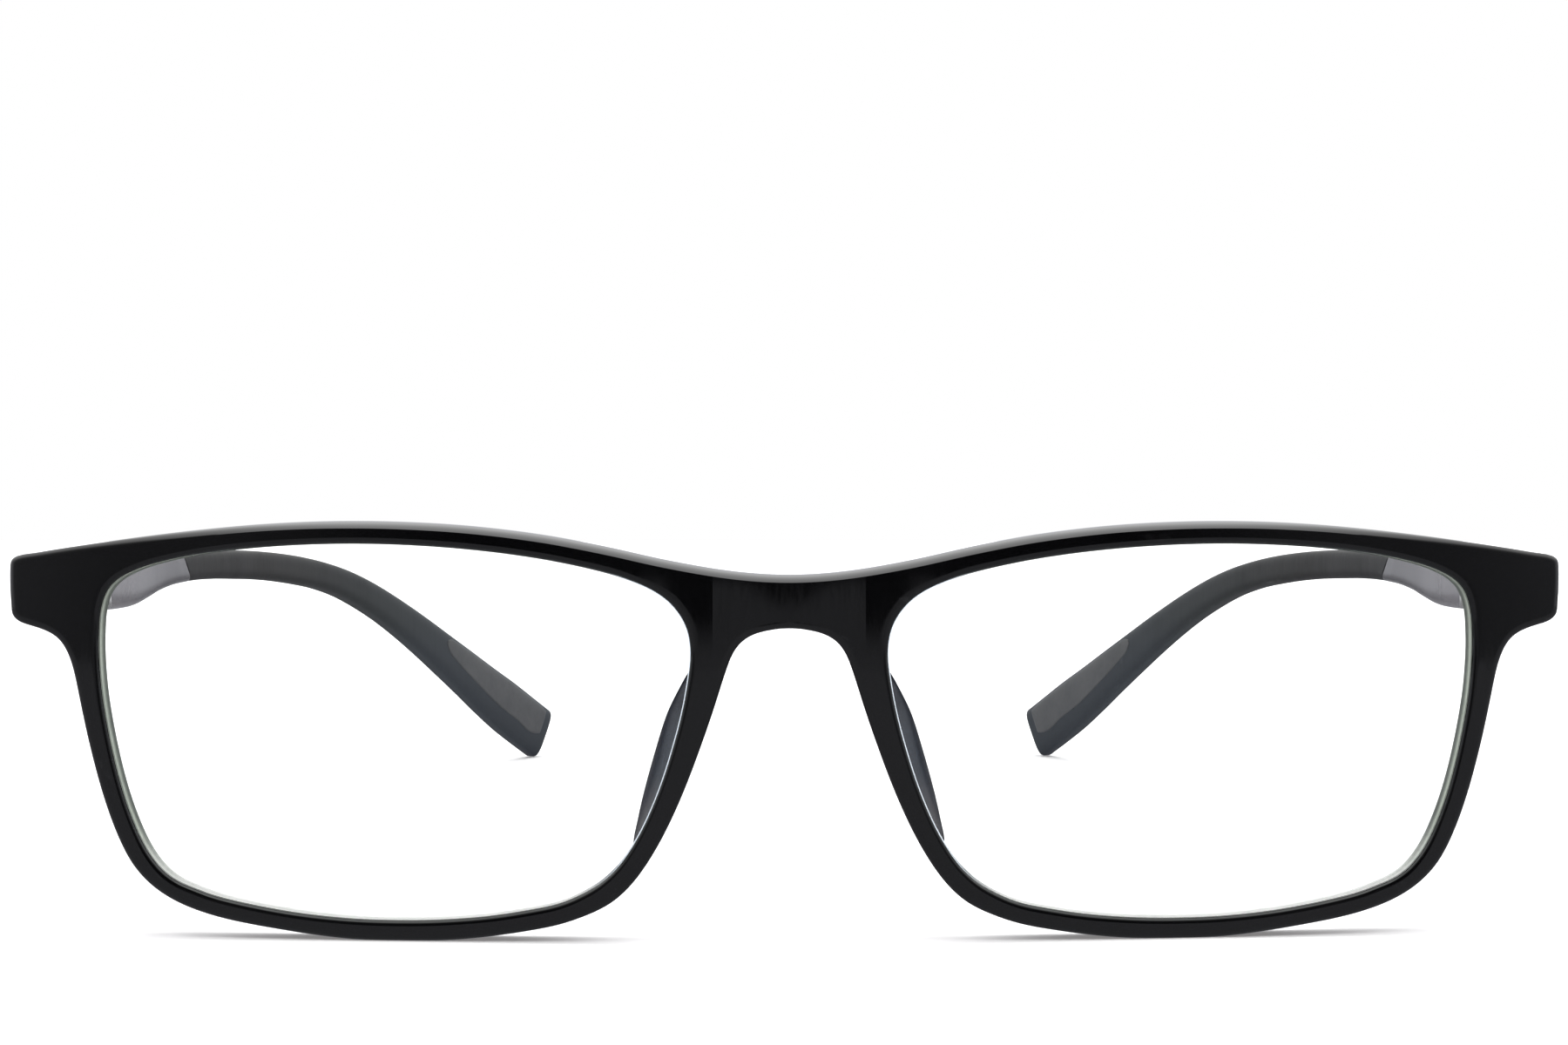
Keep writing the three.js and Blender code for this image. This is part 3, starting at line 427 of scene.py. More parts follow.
def front_grid():
    """Half the front as a grid of rows round the opening and columns round the section.

    Also returns the columns that are left out where a row ends on the middle line."""
    bevel = top_bevel(OUTER[:, 0], OUTER_NORMAL[:, 1])
    width = lerp(EDGE_W, TOP_BEVEL_W, bevel)
    depth = lerp(EDGE_D, TOP_BEVEL_D, bevel)
    front_end = OUTER - OUTER_NORMAL * width[:, None]
    back_end = OUTER - OUTER_NORMAL * BACK_ROUND
    for end, low, high in (
        (front_end, EDGE_W, TOP_BEVEL_W),
        (back_end, BACK_ROUND, BACK_ROUND),
    ):
        end[ON_MIDDLE, 0] = 0
        low_z, high_z = OUTLINE[-1][1] + low, OUTLINE[0][1] - high
        end[ON_MIDDLE, 1] = lerp(low_z, high_z, MIDDLE_SHARE[ON_MIDDLE])

    columns = []

    def put(points, y):
        x = np.where(np.abs(points[:, 0]) < 0.02, 0, points[:, 0])
        columns.append(np.stack([x, y, np.maximum(points[:, 1], 0)], 1))

    def front_of(points):
        return front_y(points[:, 0], np.maximum(points[:, 1], 0))

    def back_of(points):
        return back_y(points[:, 0], np.maximum(points[:, 1], 0))

    # rounded front lip of the opening
    for turn in quarter(7):
        points = INNER + INNER_NORMAL * (LIP_W * (1 - math.cos(turn)))
        put(points, front_of(points) + LIP_D * (1 - math.sin(turn)))
    # front face
    face_start = INNER + INNER_NORMAL * LIP_W
    for t in np.linspace(0, 1, 19)[1:]:
        points = lerp(face_start, front_end, t)
        put(points, front_of(points))
    # outer front edge: a quarter round at the sides and below, a long crowned bevel with a
    # crisp lower line on top
    left_out_from = len(columns)
    start = bevel * TOP_BEVEL_ANGLE
    for t in np.linspace(0, 1, 15)[1:]:
        turn = start + (math.pi / 2 - start) * t
        inset = width * (1 - np.sin(turn)) / (1 - np.sin(start))
        drop = depth * (np.cos(start) - np.cos(turn)) / np.cos(start)
        points = OUTER - OUTER_NORMAL * inset[:, None]
        put(points, front_of(points) + drop)
    # side wall and its rounded rear edge
    for t in (0.2, 0.4, 0.6, 0.8, 1.0):
        put(OUTER, lerp(front_of(OUTER) + depth, back_of(OUTER) - BACK_ROUND, t))
    for turn in quarter(6)[1:]:
        points = OUTER - OUTER_NORMAL * (BACK_ROUND * (1 - math.cos(turn)))
        put(points, back_of(points) - BACK_ROUND * (1 - math.sin(turn)))
    left_out_to = len(columns) - 1
    # rear face and the rounded rear edge of the opening
    away = smooth((INNER[:, 0] - REAR_X[0]) / REAR_X[1])
    rear_w, rear_d = lerp(*REAR_W, away), lerp(*REAR_D, away)
    rear_end = INNER + INNER_NORMAL * rear_w[:, None]
    for t in np.linspace(0, 1, 17)[1:]:
        points = lerp(back_end, rear_end, t)
        put(points, back_of(points))
    for turn in quarter(6)[1:]:
        points = INNER + INNER_NORMAL * (rear_w * (1 - math.sin(turn)))[:, None]
        put(points, back_of(points) - rear_d * (1 - math.cos(turn)))
    # wall of the opening, then the two flanks of the groove
    groove_back = front_of(INNER) + GROOVE_TO
    put(INNER, lerp(groove_back, back_of(INNER) - rear_d, 0.4))
    put(INNER, groove_back)
    for flank, shares in ((GROOVE_TO, (1 / 3, 2 / 3, 1)), (GROOVE_FROM, (2 / 3, 1 / 3, 0))):
        for t in shares:
            points = INNER + INNER_NORMAL * (GROOVE_DEPTH * t)
            put(points, front_of(points) + lerp(flank, GROOVE_MID, t))
    return np.stack(columns, 1), slice(left_out_from, left_out_to)


def front_shell():
    """Both halves of the front, joined along the middle."""
    grid, left_out = front_grid()
    rows, column_count = grid.shape[:2]
    missing = np.zeros((rows, column_count), bool)
    missing[ON_MIDDLE, left_out] = True
    faces = []
    for i in range(rows):
        k = (i + 1) % rows
        for j in range(column_count):
            m = (j + 1) % column_count
            corners = (i, j), (i, m), (k, m), (k, j)
            if not any(missing[corner] for corner in corners):
                faces.append([row * column_count + column for row, column in corners])
    used = np.unique(faces)
    faces = np.searchsorted(used, faces)
    verts = grid.reshape(-1, 3)[used]
    both = np.concatenate([verts, verts * [-1, 1, 1]])
    faces = np.concatenate([faces, faces[:, ::-1] + len(verts)])

    me = bpy.data.meshes.new("front")
    me.from_pydata(both.tolist(), [], faces.tolist())
    bm = bmesh.new()
    bm.from_mesh(me)
    bmesh.ops.remove_doubles(bm, verts=bm.verts, dist=1e-4)
    bmesh.ops.recalc_face_normals(bm, faces=bm.faces)
    # cut in the creases at both sides of the bridge facet; each point keeps its depth
    depth = bm.verts.layers.float.new("off")
    for v in bm.verts:
        v[depth] = v.co.y - float(front_y(v.co.x, v.co.z))
    for side in (1, -1):
        bmesh.ops.bisect_plane(
            bm,
            geom=bm.verts[:] + bm.edges[:] + bm.faces[:],
            dist=1e-4,
            plane_co=(side * FACET_X, 0, 0),
            plane_no=(1, 0, 0),
        )
    for v in bm.verts:
        if abs(abs(v.co.x) - FACET_X) < 2e-4:
            v.co.x = math.copysign(FACET_X, v.co.x)
            v.co.y = float(front_y(v.co.x, v.co.z)) + v[depth]
    bm.verts.layers.float.remove(depth)
    bmesh.ops.triangulate(bm, faces=[f for f in bm.faces if len(f.verts) > 4])
    bm.to_mesh(me)
    bm.free()
    return me


def front_mesh():
    """The front, with a notch and a leaf slot cut into the back of each lug."""
    cuts = []
    for side in (1, -1):
        notch_xs, slot_xs = (sorted((side * x, side * NOTCH_X)) for x in (61.0, 64.3))
        cuts.append(block(xs=notch_xs, ys=(NOTCH_Y, 13.5), zs=(24, 36)))
        cuts.append(block(xs=slot_xs, ys=(7.8, NOTCH_Y + 0.5), zs=SLOT_Z))
    return combine(front_shell(), cuts, "DIFFERENCE")


def crease_bridge(me):
    """Marks the two lines beside the bridge facet as sharp, on the front only."""
    attribute = me.attributes.get("sharp_edge")
    attribute = attribute or me.attributes.new("sharp_edge", "BOOLEAN", "EDGE")
    flags = np.zeros(len(me.edges), bool)
    attribute.data.foreach_get("value", flags)
    points = points_of(me) * 1000 + [0, MIDDLE_Y, 0]
    ends = np.zeros(len(me.edges) * 2, np.int32)
    me.edges.foreach_get("vertices", ends)
    x, y, z = points.T
    on_line = np.abs(np.abs(x) - FACET_X) < 1e-3
    on_line &= y - front_y(x, z) < 1.3
    flags |= on_line[ends.reshape(-1, 2)].all(axis=1)
    attribute.data.foreach_set("value", flags)
    me.update()


# ------------------------------------------------------------------ lens
def lens_mesh():
    """Lens with a ridge round its edge; material 0 is the faces, 1 the ground edge."""
    back = LENS_FRONT + LENS_THICK

    def edge_ring(outset, depth):
        x, z = (INNER + INNER_NORMAL * outset).T
        return np.stack([x, front_y(x, z) + depth, z], 1)

    def face_ring(scale, depth):
        points = INNER - INNER_NORMAL * LENS_INSET
        x, z = lerp(LENS_X, points[:, 0], scale), lerp(LENS_Z, points[:, 1], scale)
        return np.stack([x, front_y(x, z) + depth, z], 1)

    edge = [
        (-LENS_CLEAR, LENS_FRONT + 0.06),
        (-LENS_CLEAR, 0.74),
        (LENS_APEX - 0.03, GROOVE_MID - 0.04),
        (LENS_APEX, GROOVE_MID),
        (LENS_APEX - 0.03, GROOVE_MID + 0.04),
        (-LENS_CLEAR, 1.86),
        (-LENS_CLEAR, back - 0.06),
    ]
    rings = [face_ring(scale, LENS_FRONT) for scale in LENS_SCALES[::-1]]
    rings += [edge_ring(outset, depth) for outset, depth in edge]
    rings += [face_ring(scale, back) for scale in LENS_SCALES]
    count, face_rings = len(INNER), len(LENS_SCALES)
    faces, material_indices = [], []
    for ring in range(len(rings) - 1):
        ground = int(face_rings - 1 <= ring < face_rings + len(edge))
        for j in range(count):
            here, after = ring * count + j, ring * count + (j + 1) % count
            faces.append((here, after, after + count, here + count))
            material_indices.append(ground)
    middle_y = float(front_y(LENS_X, LENS_Z))
    middles = [[LENS_X, middle_y + depth, LENS_Z] for depth in (LENS_FRONT, back)]
    front_middle = len(rings) * count
    last = (len(rings) - 1) * count
    for j in range(count):
        after = (j + 1) % count
        faces.append((front_middle, after, j))
        faces.append((front_middle + 1, last + j, last + after))
        material_indices += [0, 0]
    me = mesh_from(np.concatenate(rings + [middles]), faces, material_indices)
    return store(me, "depth", lambda x, y, z: y - float(front_y(x, z)))


# ------------------------------------------------------------------ nose pad
def pad_side(start, end, bulge):
    """Points of a curved side, without its end; bulge is its shift in x at half way."""
    control = lerp(start, end, 0.5) + [2 * bulge, 0]
    shares = np.linspace(0, 1, 9)[:-1]
    return [(1 - t) ** 2 * start + 2 * t * (1 - t) * control + t * t * end for t in shares]


def pad_mesh():
    """Fin behind the rim beside the nose, with a round tip."""
    table = Spline(PAD)
    rings = []
    for z in lerp(PAD[-1][0], PAD[0][0], eased(84)):
        root_in, root_out, tip_x, depth, radius = table(z)
        root_x = (root_in + root_out) / 2
        root_y = float(back_y(root_x, z)) - PAD_SINK
        total = depth + PAD_SINK + 0.05
        length = math.hypot(tip_x - root_x, total)
        along = np.array([(tip_x - root_x) / length, total / length])
        across = np.array([along[1], -along[0]])
        centre = np.array([tip_x, root_y + total]) - along * radius
        inner, outer = (
            np.array([x, float(back_y(x, z)) - PAD_SINK]) for x in (root_in, root_out)
        )
        bulge = 0.2 * depth / 6
        ring = [lerp(inner, outer, t) for t in np.linspace(0, 1, 5)[:-1]]
        ring += pad_side(outer, centre + across * radius, bulge)
        for k in range(13):
            turn = math.pi / 2 - k * math.pi / 12
            ring.append(centre + (along * math.cos(turn) + across * math.sin(turn)) * radius)
        ring += pad_side(centre - across * radius, inner, bulge)[1:]
        rings.append(np.array([(x, y, z) for x, y in ring]))

    def span(x, y, z):
        """Share of the way from the rim's rear surface to the tip."""
        root_in, root_out, _, depth, _ = table(z)
        return (y - float(back_y((root_in + root_out) / 2, z))) / max(depth, 0.3)

    return store(loft(rings), "span", span)


# ------------------------------------------------------------------ temple
TEMPLE_ROWS = np.array(TEMPLE, float)


def temple_size(y):
    """Height of the centre, half height and width at y, by Hermite interpolation of TEMPLE."""
    rows = TEMPLE_ROWS
    i = int(segment(rows[:, 0], y))

    def slope(j):
        before, after = rows[max(j - 1, 0)], rows[min(j + 1, len(rows) - 1)]
        return (after[1:] - before[1:]) / (after[0] - before[0])

    span = rows[i + 1, 0] - rows[i, 0]
    t = (y - rows[i, 0]) / span
    t2, t3 = t * t, t * t * t
    return (
        (2 * t3 - 3 * t2 + 1) * rows[i, 1:]
        + (t3 - 2 * t2 + t) * span * slope(i)
        + (-2 * t3 + 3 * t2) * rows[i + 1, 1:]
        + (t3 - t2) * span * slope(i + 1)
    )


def inner_face(y):
    return TEMPLE_IN - TEMPLE_TURN * max(y - TEMPLE_TURN_FROM, 0) ** 2


def section_tilt(y):
    """Slant of the cross-section: that of the seam near it, and a little near the tip."""
    seam = smooth(1 - abs(y - SEAM_Y) / SEAM_BLEND)
    tip = smooth((y - TIP_TILT_Y[0]) / TIP_TILT_Y[1])
    return math.radians(SEAM_TILT * seam + TIP_TILT * tip)


def temple_frame(y):
    """Centre, outward and upward directions, half height and width of the cross-section."""
    reach = 0.05
    centre_z, half, width = temple_size(y)
    centre = np.array([inner_face(y) + width / 2, y, centre_z])
    turn = inner_face(y + reach) - inner_face(y - reach)
    rise = temple_size(y + reach)[0] - temple_size(y - reach)[0]
    along = np.array([turn, 2 * reach, rise])
    along /= np.linalg.norm(along)
    out = np.array([along[1], -along[0], 0])
    out /= np.linalg.norm(out)
    up = np.cross(out, along)
    up /= np.linalg.norm(up)
    tilt = section_tilt(y)
    up = up * math.cos(tilt) + along * math.sin(tilt)
    # slanting sections are stretched, so that the temple keeps its height
    if abs(y - SEAM_Y) < 12:
        up = up / max(0.5, math.cos(tilt))
    return centre, out, up, half, width


def temple_ring(y, grow=0.0, relief=0.0):
    """Rounded rectangular section; relief draws its inner side back."""
    centre, out, up, half, width = temple_frame(y)
    power = 2 / (FRONT_POWER if y < SEAM_Y else REAR_POWER)
    ring = []
    for j in range(72):
        turn = (j + 0.5) / 72 * math.pi * 2
        cosine, sine = math.cos(turn), math.sin(turn)
        across = math.copysign(abs(cosine) ** power, cosine) * (width / 2 + grow)
        high = math.copysign(abs(sine) ** power, sine) * (half + grow)
        if across < 0:
            across += relief * min(1.0, -across / (width / 2))
        ring.append(centre + out * across + up * high)
    return np.array(ring)


def core_mesh(grow=0.0):
    """Flat wire with cut corners inside both parts of the temple."""
    corners = [(-1, -0.8), (-0.8, -1), (0.8, -1), (1, -0.8), (1, 0.8), (0.8, 1), (-0.8, 1), (-1, 0.8)]
    half_w, half_h = CORE_HALF_W + grow, CORE_HALF_H + grow
    ys = list(np.linspace(CORE_Y[0] - grow, SEAM_Y, 10))
    ys += list(np.linspace(SEAM_Y, CORE_Y[1] + grow, 60))[1:]
    rings = []
    for y in ys:
        centre, out, up, _, _ = temple_frame(y)
        up = up / max(1.0, np.linalg.norm(up))
        rings.append(np.array([centre + out * q * half_w + up * r * half_h for q, r in corners]))
    return loft(rings)


def temple_front_mesh():
    """Front part of the temple, with a rounded front end, a leaf slot and a bore for the core."""
    relief = 0.05
    rings = []
    for turn in quarter(6)[::-1]:
        y = TEMPLE_Y + TEMPLE_ROUND * (1 - math.sin(turn))
        rings.append(temple_ring(y, grow=-TEMPLE_ROUND * (1 - math.cos(turn))))
    ys = list(np.linspace(12.7, 36, 60)) + list(np.linspace(36, SEAM_Y - 0.25, 44))[1:]
    for y in ys:
        rings.append(temple_ring(y, relief=relief * max(0.0, (y - (SEAM_Y - 2.6)) / 2.6)))
    rings.append(temple_ring(SEAM_Y - 0.05, grow=-0.01, relief=relief))
    rings.append(temple_ring(SEAM_Y - 0.01, grow=-0.04, relief=relief))
    slot = block(xs=(60, TEMPLE_IN + LEAF_T), ys=(11.9, 20.2), zs=SLOT_Z)
    return combine(loft(rings), [slot, core_mesh(CORE_SLACK)], "DIFFERENCE")


def temple_rear_mesh():
    """Rear part of the temple, with a rounded tip, a bore for the core and a panel recess."""
    rings = [
        temple_ring(SEAM_Y + 0.01, grow=-0.04),
        temple_ring(SEAM_Y + 0.05, grow=-0.01),
        temple_ring(SEAM_Y + 0.22),
        temple_ring(SEAM_Y + 0.4),
    ]
    ys = list(np.linspace(SEAM_Y + 0.7, 62, 36))
    ys += list(np.linspace(62, TIP_Y - TIP_ROUND, 130))[1:]
    rings += [temple_ring(y) for y in ys]
    for turn in np.linspace(0, math.pi / 2 * 0.93, 9)[1:]:
        y = TIP_Y - TIP_ROUND * (1 - math.sin(turn))
        rings.append(temple_ring(y, grow=-TIP_ROUND * (1 - math.cos(turn))))
    recess = grip_body(proud=1.0, deep=0.46, grow=0.02)
    return combine(loft(rings), [core_mesh(CORE_SLACK), recess], "DIFFERENCE")


def grip_body(proud, deep, grow=0.0, soft=0.0):
    """Panel that follows the temple's inner face, its rim rounded over "soft" mm."""
    table = Spline(GRIP)
    first, last = GRIP[0][0], GRIP[-1][0]
    ys = lerp(first - grow, last + grow, eased(72))
    rings = []
    for y in ys:
        low, high = table(float(np.clip(y, first, last)))
        centre, out, up, half, width = temple_frame(y)
        low, high = low - grow / half, high + grow / half
        top, bottom = [], []
        for h in low + (high - low) * eased(17):
            x = width / 2 * (1 - abs(h) ** REAR_POWER) ** (1 / REAR_POWER)
            rim = 0.0
            if soft > 0:
                from_side = min(h - low, high - h) * half
                from_end = min(y - ys[0], ys[-1] - y)
                k = max(0.0, 1 - min(from_side, from_end * 1.2) / soft)
                rim = 0.08 * (1 - math.sqrt(max(0.0, 1 - k * k)))
            top.append(centre + out * (-x - proud + rim) + up * (h * half))
            bottom.append(centre + out * (-x + deep) + up * (h * half))
        rings.append(np.array(top + bottom[::-1]))
    return loft(rings)


def grip_mesh():
    return grip_body(proud=0.08, deep=0.4, soft=0.2)


# ------------------------------------------------------------------ hinge
def knuckle(low, high):
    """Barrel with rounded rims."""
    radius, chamfer = BARREL_R, BARREL_CHAMFER
    half = [(radius - chamfer, 0), (radius - chamfer * 0.35, chamfer * 0.3), (radius, chamfer)]
    return lathe([(r, low + z) for r, z in half] + [(r, high - z) for r, z in half[::-1]])


def knuckle_arm(index, xs, ys):
    """Block that ties a knuckle to its leaf."""
    low, high = KNUCKLES[index]
    return block(xs=xs, ys=ys, zs=(low + 0.01, high - 0.01), radius=0.05, segments=2)


def bore():
    return lathe([(BORE_R, 27), (BORE_R, 35)], sides=48)


def front_leaf_mesh():
    """Plate with the lowest and the highest knuckle, bored and sunk for the screw."""
    plate_xs = (FRONT_LEAF_X - LEAF_T, FRONT_LEAF_X)
    plate = block(xs=plate_xs, ys=(7.9, 12.0), zs=LEAF_Z, radius=0.06)
    gap_zs = (KNUCKLES[0][1] + 0.02, KNUCKLES[2][0] - 0.02)
    plate = combine(plate, [block(xs=(63.5, 66), ys=(10.6, 13), zs=gap_zs)], "DIFFERENCE")
    parts = []
    for index in (0, 2):
        parts.append(knuckle(*KNUCKLES[index]))
        parts.append(knuckle_arm(index, xs=(64.0, FRONT_LEAF_X), ys=(11.05, 12.0)))
    leaf = combine(plate, parts, "UNION")
    head_hole = lathe([(0.86, 32.5), (0.86, 34)], sides=48)
    return combine(leaf, [bore(), head_hole], "DIFFERENCE")


def temple_leaf_mesh():
    """Plate in the temple's slot, with the middle knuckle."""
    leaf_xs = (TEMPLE_IN - 0.1, TEMPLE_IN + LEAF_T - 0.1)
    leaf = block(xs=leaf_xs, ys=(12.5, 20), zs=LEAF_Z, radius=0.08)
    parts = [knuckle(*KNUCKLES[1]), knuckle_arm(1, xs=(63.9, 65.6), ys=(12.35, 13.3))]
    return combine(combine(leaf, parts, "UNION"), [bore()], "DIFFERENCE")


def screw_mesh():
    """Screw with a slot across its head."""
    xs, ys = (PIVOT_X - 1, PIVOT_X + 1), (PIVOT_Y - 0.12, PIVOT_Y + 0.12)
    return combine(lathe(SCREW, sides=56), [block(xs=xs, ys=ys, zs=(32.98, 34))], "DIFFERENCE")


# ------------------------------------------------------------------ shader graphs
class Signal:
    """A node's output. Arithmetic on it adds Math nodes with the inputs in written order."""

    def __init__(self, graph, socket):
        self.graph, self.socket = graph, socket

    def __add__(self, other):
        return self.graph.math("ADD", self, other)

    def __radd__(self, other):
        return self.graph.math("ADD", other, self)

    def __sub__(self, other):
        return self.graph.math("SUBTRACT", self, other)

    def __rsub__(self, other):
        return self.graph.math("SUBTRACT", other, self)

    def __mul__(self, other):
        return self.graph.math("MULTIPLY", self, other)

    def __abs__(self):
        return self.graph.math("ABSOLUTE", self)

    def larger(self, other):
        return self.graph.math("MAXIMUM", self, other)

    def ramp(self, span, to=(0.0, 1.0)):
        """Smooth step: "to" is the result at the two ends of the span."""
        inputs = {"Value": self, "From Min": span[0], "From Max": span[1]}
        inputs.update({"To Min": to[0], "To Max": to[1]})
        return self.graph.add("MapRange", inputs, interpolation_type="SMOOTHSTEP")

    def sibling(self, name):
        """Another output of the same node."""
        return Signal(self.graph, self.socket.node.outputs[name])


class Graph:
    """Builds a node tree; inputs may be signals, numbers or colours."""

    def __init__(self, tree):
        self.tree = tree
        tree.nodes.clear()

    def add(self, kind, inputs=None, output=0, **settings):
        """Adds a node; its inputs and its returned output go by name or number."""
        node = self.tree.nodes.new("ShaderNode" + kind)
        for field, value in settings.items():
            setattr(node, field, value)
        for key, value in (inputs or {}).items():
            socket = node.inputs[key]
            if isinstance(value, Signal):
                self.tree.links.new(value.socket, socket)
            elif socket.type == "RGBA" and len(value) == 3:
                socket.default_value = (*value, 1.0)
            else:
                socket.default_value = value
        return Signal(self, node.outputs[output])

    def finish(self, kind, shader):
        node = self.tree.nodes.new("ShaderNode" + kind)
        self.tree.links.new(shader.socket, node.inputs[0])

    def math(self, operation, first, second=0.0, clamp=False):
        return self.add("Math", {0: first, 1: second}, operation=operation, use_clamp=clamp)

    def place(self, kind="Object"):
        return self.add("TexCoord", output=kind)

    def split(self, vector):
        x = self.add("SeparateXYZ", {0: vector})
        return x, x.sibling(1), x.sibling(2)

    def noise(self, vector, scale, detail=4.0, roughness=0.55):
        inputs = {"Vector": vector, "Scale": scale, "Detail": detail, "Roughness": roughness}
        return self.add("TexNoise", inputs)

    def mapping(self, vector, scale, rotation=(0, 0, 0)):
        return self.add("Mapping", {"Vector": vector, "Scale": scale, "Rotation": rotation})

    def mix(self, factor, first, second):
        """Blend of two colours; factor 0 is the first."""
        return self.add("Mix", {0: factor, 6: first, 7: second}, output=2, data_type="RGBA")

    def mix_shader(self, factor, first, second):
        return self.add("MixShader", {0: factor, 1: first, 2: second})

    def bump(self, height, distance, strength=1.0, normal=None):
        inputs = {"Height": height, "Distance": distance, "Strength": strength}
        if normal is not None:
            inputs["Normal"] = normal
        return self.add("Bump", inputs)


def new_material(name):
    material = bpy.data.materials.new(name)
    material.use_nodes = True
    return material, Graph(material.node_tree)


# ------------------------------------------------------------------ materials
def scratches(graph, vector, scale=900.0, turns=(0.3, 1.9, -0.8), thickness=0.035):
    """Hair-fine marks in a few directions: stretched noise, thresholded to thin lines."""
    total = None
    for turn in turns:
        stretch, rotation = (scale, scale, scale * 0.035), (0.2, turn, 0.4 * turn)
        stretched = graph.mapping(vector, scale=stretch, rotation=rotation)
        noise = graph.noise(stretched, scale=1.0, detail=2.0, roughness=0.5)
        line = graph.math("SUBTRACT", 1.0, abs(noise - 0.5) * (1 / thickness), clamp=True)
        total = line if total is None else total.larger(line)
    return total


def plastic(name, colours, rough, rough_var, fine_bump, wear, wear_colour, fine_scale=5200,
            scratch=0.0, wave=0.0, ior=1.5, specular=0.5, gradient=None, shade=None,
            sheen=0.0, sheen_tint=(1, 1, 1)):
    """Moulded plastic: cloudy colour, uneven polish, fine marks, worn edges, faint waviness.

    gradient is the y span (in metres) over which the colour turns to another, and that colour;
    shade is a function that changes the colour; specular is a number or a function.
    """
    material, graph = new_material(name)
    place = graph.place()
    pointiness = graph.add("NewGeometry", output="Pointiness")
    cloud = graph.noise(place, scale=160.0, detail=5.0, roughness=0.6)
    mottling = graph.noise(place, scale=1400.0, detail=3.0, roughness=0.6)
    tone = cloud.ramp(span=(0.3, 0.7), to=(0.0, 0.7)) + mottling.ramp(
        span=(0.35, 0.65), to=(0.0, 0.3)
    )
    base = graph.mix(tone, *colours)
    if gradient is not None:
        span, other = gradient
        base = graph.mix(graph.split(place)[1].ramp(span=span), base, other)
    if shade is not None:
        base = shade(graph, place, base)
    # rubbed edges: lighter and a little duller
    edge = pointiness.ramp(span=(0.53, 0.62))
    patches = graph.noise(place, scale=420.0, detail=4.0, roughness=0.65)
    worn = edge * patches.ramp(span=(0.42, 0.66)) * wear
    base = graph.mix(worn, base, wear_colour)
    smudge = graph.noise(place, scale=70.0, detail=5.0, roughness=0.6).ramp(span=(0.45, 0.75))
    roughness = rough + smudge * rough_var + worn * 0.25
    normal = None
    if wave > 0:
        waves = graph.noise(place, scale=55.0, detail=1.0, roughness=0.4)
        normal = graph.bump(waves, distance=wave)
    fine = graph.noise(place, scale=fine_scale, detail=3.0, roughness=0.6)
    normal = graph.bump(fine, distance=fine_bump, normal=normal)
    if scratch > 0:
        marks = scratches(graph, place)
        roughness = roughness + marks * scratch
        normal = graph.bump(marks, distance=2e-7, strength=0.4, normal=normal)
    shader = graph.add("BsdfPrincipled", {
        "Base Color": base,
        "Roughness": roughness,
        "IOR": ior,
        "Specular IOR Level": specular(graph) if callable(specular) else specular,
        "Coat Roughness": 0.06,
        "Sheen Weight": sheen,
        "Sheen Tint": sheen_tint,
        "Sheen Roughness": 0.4,
        "Normal": normal,
    })
    graph.finish("OutputMaterial", shader)
    return material


def metal(name, colours, rough, brush=(40.0, 40.0, 2600.0), tarnish=(0.2, 0.17, 0.13)):
    """Drawn or rolled metal: directional grain, tarnish in patches, edges polished bright."""
    material, graph = new_material(name)
    place = graph.place()
    pointiness = graph.add("NewGeometry", output="Pointiness")
    grain = graph.noise(graph.mapping(place, scale=brush), scale=1.0, detail=3.0, roughness=0.6)
    blotch = graph.noise(place, scale=900.0, detail=5.0, roughness=0.65).ramp(span=(0.5, 0.75))
    edge = pointiness.ramp(span=(0.52, 0.6))
    base = graph.mix(grain.ramp(span=(0.3, 0.7)), *colours)
    base = graph.mix(blotch * 0.28, base, tarnish)
    base = graph.mix(edge * 0.5, base, (0.82, 0.82, 0.8))
    shader = graph.add("BsdfPrincipled", {
        "Metallic": 1.0,
        "Base Color": base,
        "Roughness": rough + grain * 0.12 + blotch * 0.12 - edge * 0.08,
        "Normal": graph.bump(grain, distance=4e-6, strength=0.6),
    })
    graph.finish("OutputMaterial", shader)
    return material


def clear_lens(name):
    """Coated optical plastic: clear straight through, with a weak cool reflection."""
    material, graph = new_material(name)
    place = graph.place()
    shadow_ray = graph.add("LightPath", output="Is Shadow Ray")
    facing = graph.add("LayerWeight", {"Blend": 0.5}, output="Facing")
    dust = graph.noise(place, scale=2600.0, detail=2.0, roughness=0.5)
    haze = graph.noise(place, scale=60.0, detail=4.0, roughness=0.6).ramp(span=(0.35, 0.75))
    tint = graph.mix(haze, (0.992, 0.997, 0.993), (0.984, 0.992, 0.99))
    see_through = graph.add("BsdfTransparent", {"Color": tint})
    # the coating's leftover colour slides from violet-blue to green with angle
    violet_blue, green = (0.46, 0.52, 1.0), (0.5, 0.95, 0.72)
    gloss = graph.add("BsdfGlossy", {
        "Roughness": 0.015 + haze * 0.03,
        "Color": graph.mix(facing.ramp(span=(0.15, 0.8)), violet_blue, green),
        "Normal": graph.bump(dust, distance=3e-7, strength=0.3),
    })
    # only outer surfaces reflect, at about half strength, and shadows ignore it
    amount = graph.add("Fresnel", {"IOR": 1.5}) * 0.55
    amount = amount * (1.0 - shadow_ray)
    amount = amount * (1.0 - graph.add("NewGeometry", output="Backfacing"))
    graph.finish("OutputMaterial", graph.mix_shader(amount, see_through, gloss))
    return material


